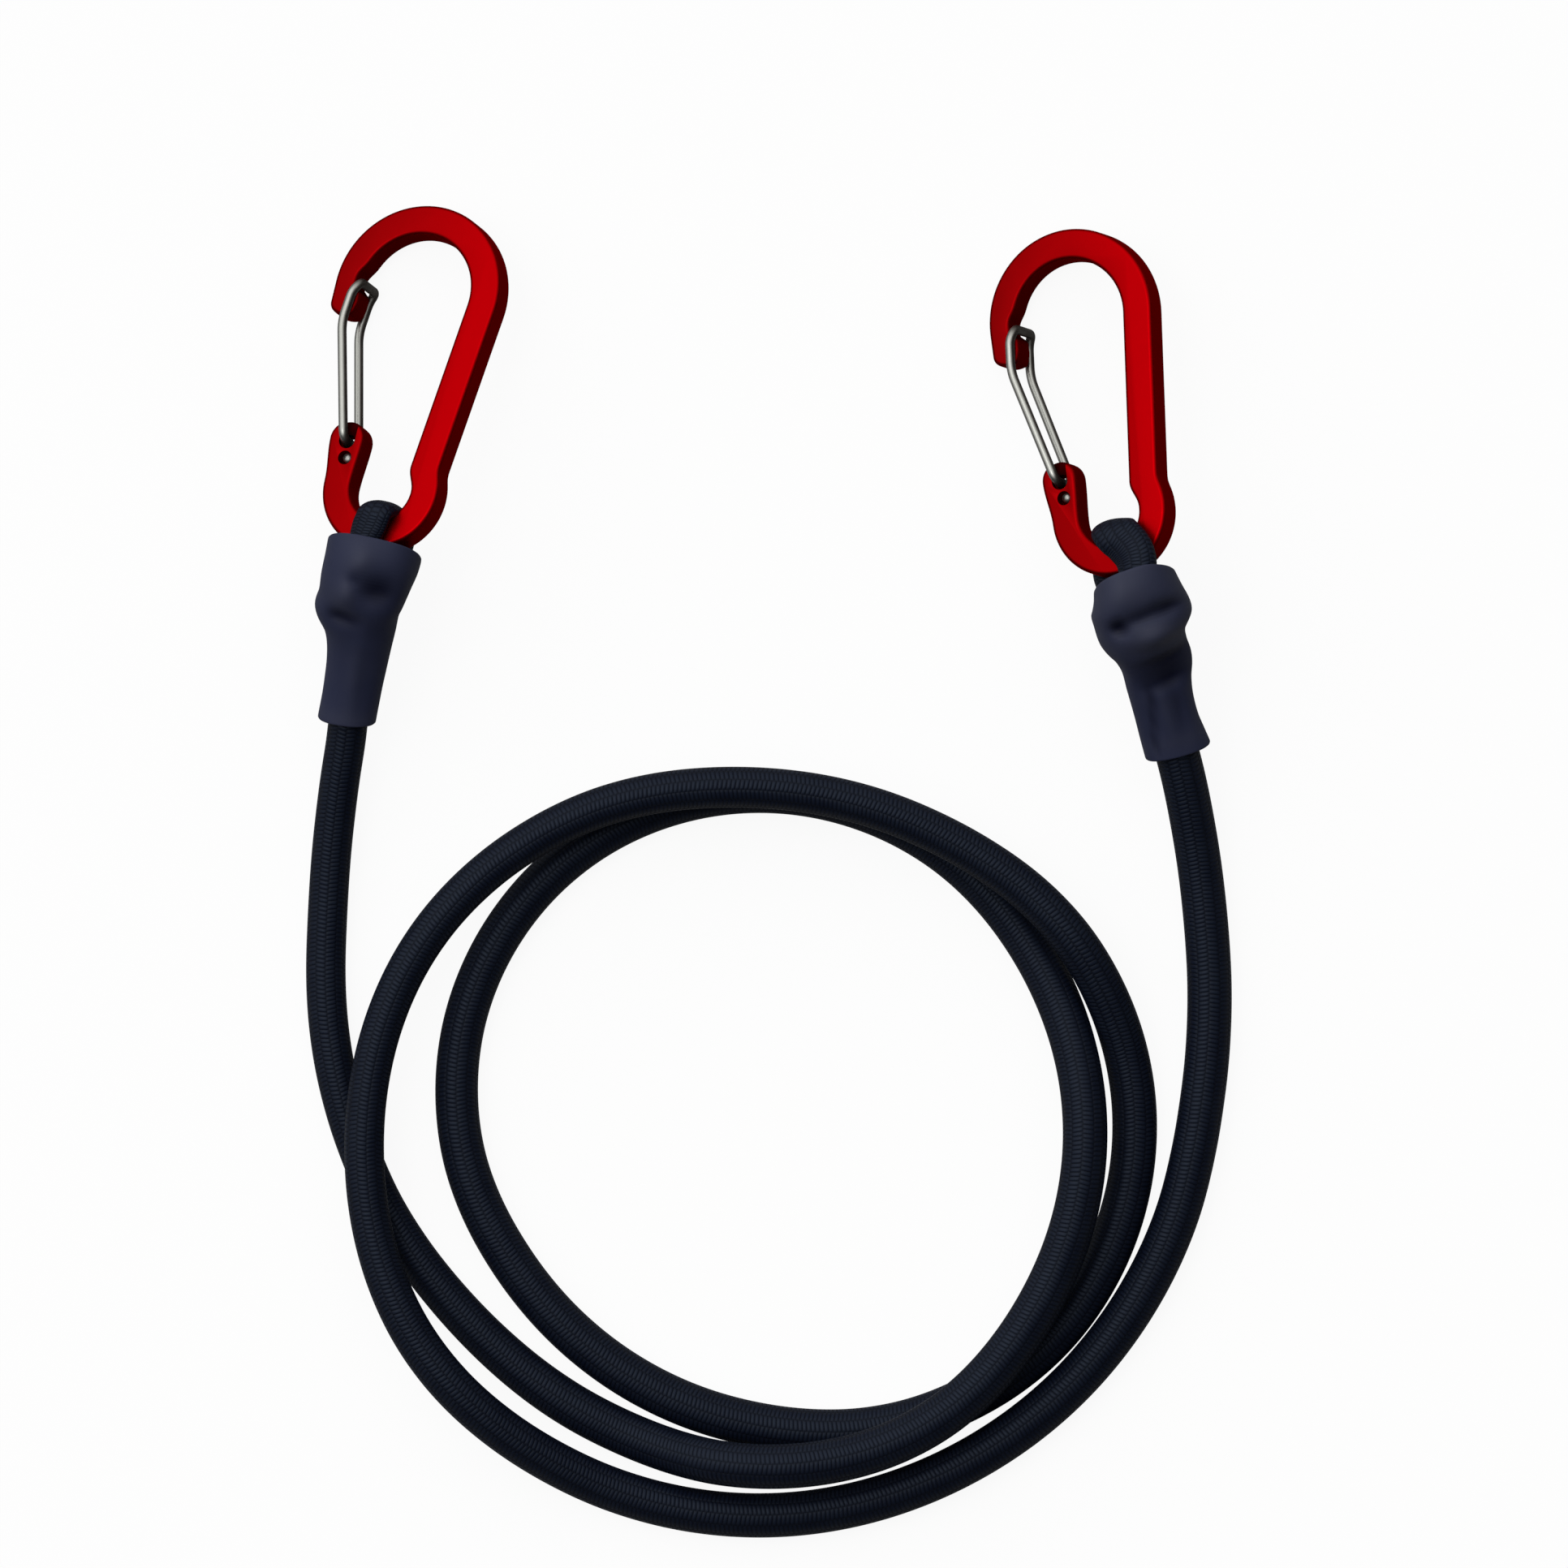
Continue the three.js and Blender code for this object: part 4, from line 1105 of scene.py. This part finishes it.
def buildGate(side):
    end = layout[side]
    s = hookShape
    noseEnd = Vector((s["crown"][0] - s["crownRadius"] + s["noseTip"], s["crown"][1] - s["noseDrop"]))
    radius = gateSet["radius"]
    atNose = halfBar + gateSet["legOut"] + radius
    atLug = halfBar - s["slotDepth"] + gateSet["slotGap"] + radius + gateSet["legOut"]
    inner = noseEnd + Vector((s["noseTip"], 0))
    crank = inner + Vector(gateSet["crank"]) - Vector((0, s["noseTip"]))
    rise = inner + Vector(gateSet["rise"])
    loop = inner + Vector(gateSet["loop"]) + Vector((s["noseHook"] / 4 + radius, 0))
    upper, lower = Vector(s["upperHole"]), Vector(s["lowerHole"])
    axisLine = (upper - lower).normalized()
    across = Vector((-axisLine.y, axisLine.x))
    halves = []
    for face in (1, -1):
        hole = upper if face > 0 else lower
        stub = hole + across * face * gateSet["travel"] / 2
        halves.append([
            Vector((stub.x, stub.y, -face * gateSet["stubPast"])),
            Vector((stub.x, stub.y, face * atLug)),
            Vector((*crank, face * atNose)),
            Vector((*rise, face * atNose)),
            Vector((*loop, face * atNose * gateSet["loopNarrow"])),
        ])
    corners = [*halves[0], *reversed(halves[1])]
    line = roundCorners(corners, gateSet["bend"], gateSet["bendSteps"])
    rings = tubeRings(line, (1, 0, 0), [(radius, radius)] * len(line), gateSet["sides"])
    gate = skinRings(f"{side}_gate", rings)
    outwards = [(end.turn @ (p - middle)).normalized() for ring, middle in zip(rings, line) for p in ring]
    outwards += [Vector()] * (len(gate.data.vertices) - len(outwards))  # the middles of the two end caps
    flankWay = Vector(gateSet["flankWay"])
    for vertex, outward, shadeValue in zip(gate.data.vertices, outwards, *pointValues(gate, "loop")):
        shadedFlank = part(outward.dot(flankWay), *gateSet["flankShadeSpan"])  # painted shade on the side that faces the spine
        # painted shade at the loop inside the nose, except on the side turned away from the spine
        looped = part(vertex.co.y / mm - noseEnd.y, *gateSet["loopShadeSpan"])
        shadeValue.value = max(shadedFlank, looped * (1 - part(-outward.x, *gateSet["litFlankSpan"])))
    gate.data.transform(end.hookPlace())
    finishPiece(gate, springSteel, f"{side}_gate", [f"{side}_gate_wire"])


for side in ends:
    buildHook(side)
    buildGate(side)
print("bungee cord: hooks and gates made")


# Stage: a pale floor, a sky that is bright to the upper left, and one lamp
studio = {
    "floor": (0.85, 0.85, 0.85),
    "floorShade": (0.83, 0.83, 0.835),
    "floorBounce": (0.34, 0.34, 0.34),
    "floorWhite": 0.92,
    "floorSize": 6,
    "paperScale": 30,
    "paperShade": 0.1,
    "softFrom": (-0.42, 0.6, 0.68),
    "softEdge": 0.24,
    "lowSky": 0.07,
    "highSky": 1.9,
    "key": 3.0,
    "keyPlace": (-0.45, 0.2, 1.25),
    "keyAim": (0, -0.04, 0),
    "keySize": 0.6,
}


def floorFinish():
    finish = Finish("paleFloor")
    seen = finish.add("ShaderNodeLightPath", output=0)
    paper = finish.noise(finish.place(), studio["paperScale"], 3)
    pale = finish.mixColour(paper * studio["paperShade"], studio["floor"], studio["floorShade"])
    shade = finish.mixColour(seen, studio["floorBounce"], pale)
    lit = finish.add("ShaderNodeBsdfDiffuse", {}, {"Color": shade})
    white = finish.add("ShaderNodeEmission", {}, {"Color": (1, 1, 1, 1), "Strength": 1.0})
    mixed = finish.add("ShaderNodeMixShader", {}, {0: seen * studio["floorWhite"], 1: lit, 2: white})
    finish.add("ShaderNodeOutputMaterial", {}, {"Surface": mixed})
    return finish.material


bpy.ops.object.select_all(action="DESELECT")
bpy.ops.mesh.primitive_plane_add(size=studio["floorSize"], location=(0, 0, 0))
floor = bpy.context.active_object
floor.name = "Floor"
floor.data.materials.append(floorFinish())

# The sky lights and mirrors softly, and the camera sees it plain white
world = bpy.data.worlds.new("PlainRoom")
world.use_nodes = True
bpy.context.scene.world = world
nodes, links = world.node_tree.nodes, world.node_tree.links
nodes.clear()
way = nodes.new("ShaderNodeVectorMath")
way.operation = "DOT_PRODUCT"
links.new(nodes.new("ShaderNodeTexCoord").outputs["Generated"], way.inputs[0])
way.inputs[1].default_value = Vector(studio["softFrom"]).normalized()
lit = nodes.new("ShaderNodeMapRange")
lit.interpolation_type = "SMOOTHSTEP"
links.new(way.outputs["Value"], lit.inputs[0])
for index, number in enumerate((studio["softEdge"], 1, studio["lowSky"], studio["highSky"])):
    lit.inputs[index + 1].default_value = number
soft = nodes.new("ShaderNodeBackground")
links.new(lit.outputs[0], soft.inputs["Strength"])
plain = nodes.new("ShaderNodeBackground")
for background in (soft, plain):
    background.inputs["Color"].default_value = (1, 1, 1, 1)
choose = nodes.new("ShaderNodeMixShader")
links.new(nodes.new("ShaderNodeLightPath").outputs["Is Camera Ray"], choose.inputs[0])
links.new(soft.outputs[0], choose.inputs[1])
links.new(plain.outputs[0], choose.inputs[2])
links.new(choose.outputs[0], nodes.new("ShaderNodeOutputWorld").inputs["Surface"])

bpy.ops.object.select_all(action="DESELECT")
bpy.ops.object.light_add(type="AREA", location=studio["keyPlace"])
lamp = bpy.context.active_object
lamp.name = "Key"
lamp.data.shape = "DISK"
lamp.data.size = studio["keySize"]
lamp.data.energy = studio["key"]
aim = Vector(studio["keyAim"]) - Vector(studio["keyPlace"])
lamp.rotation_euler = aim.to_track_quat("-Z", "Y").to_euler()
print("bungee cord: stage set")
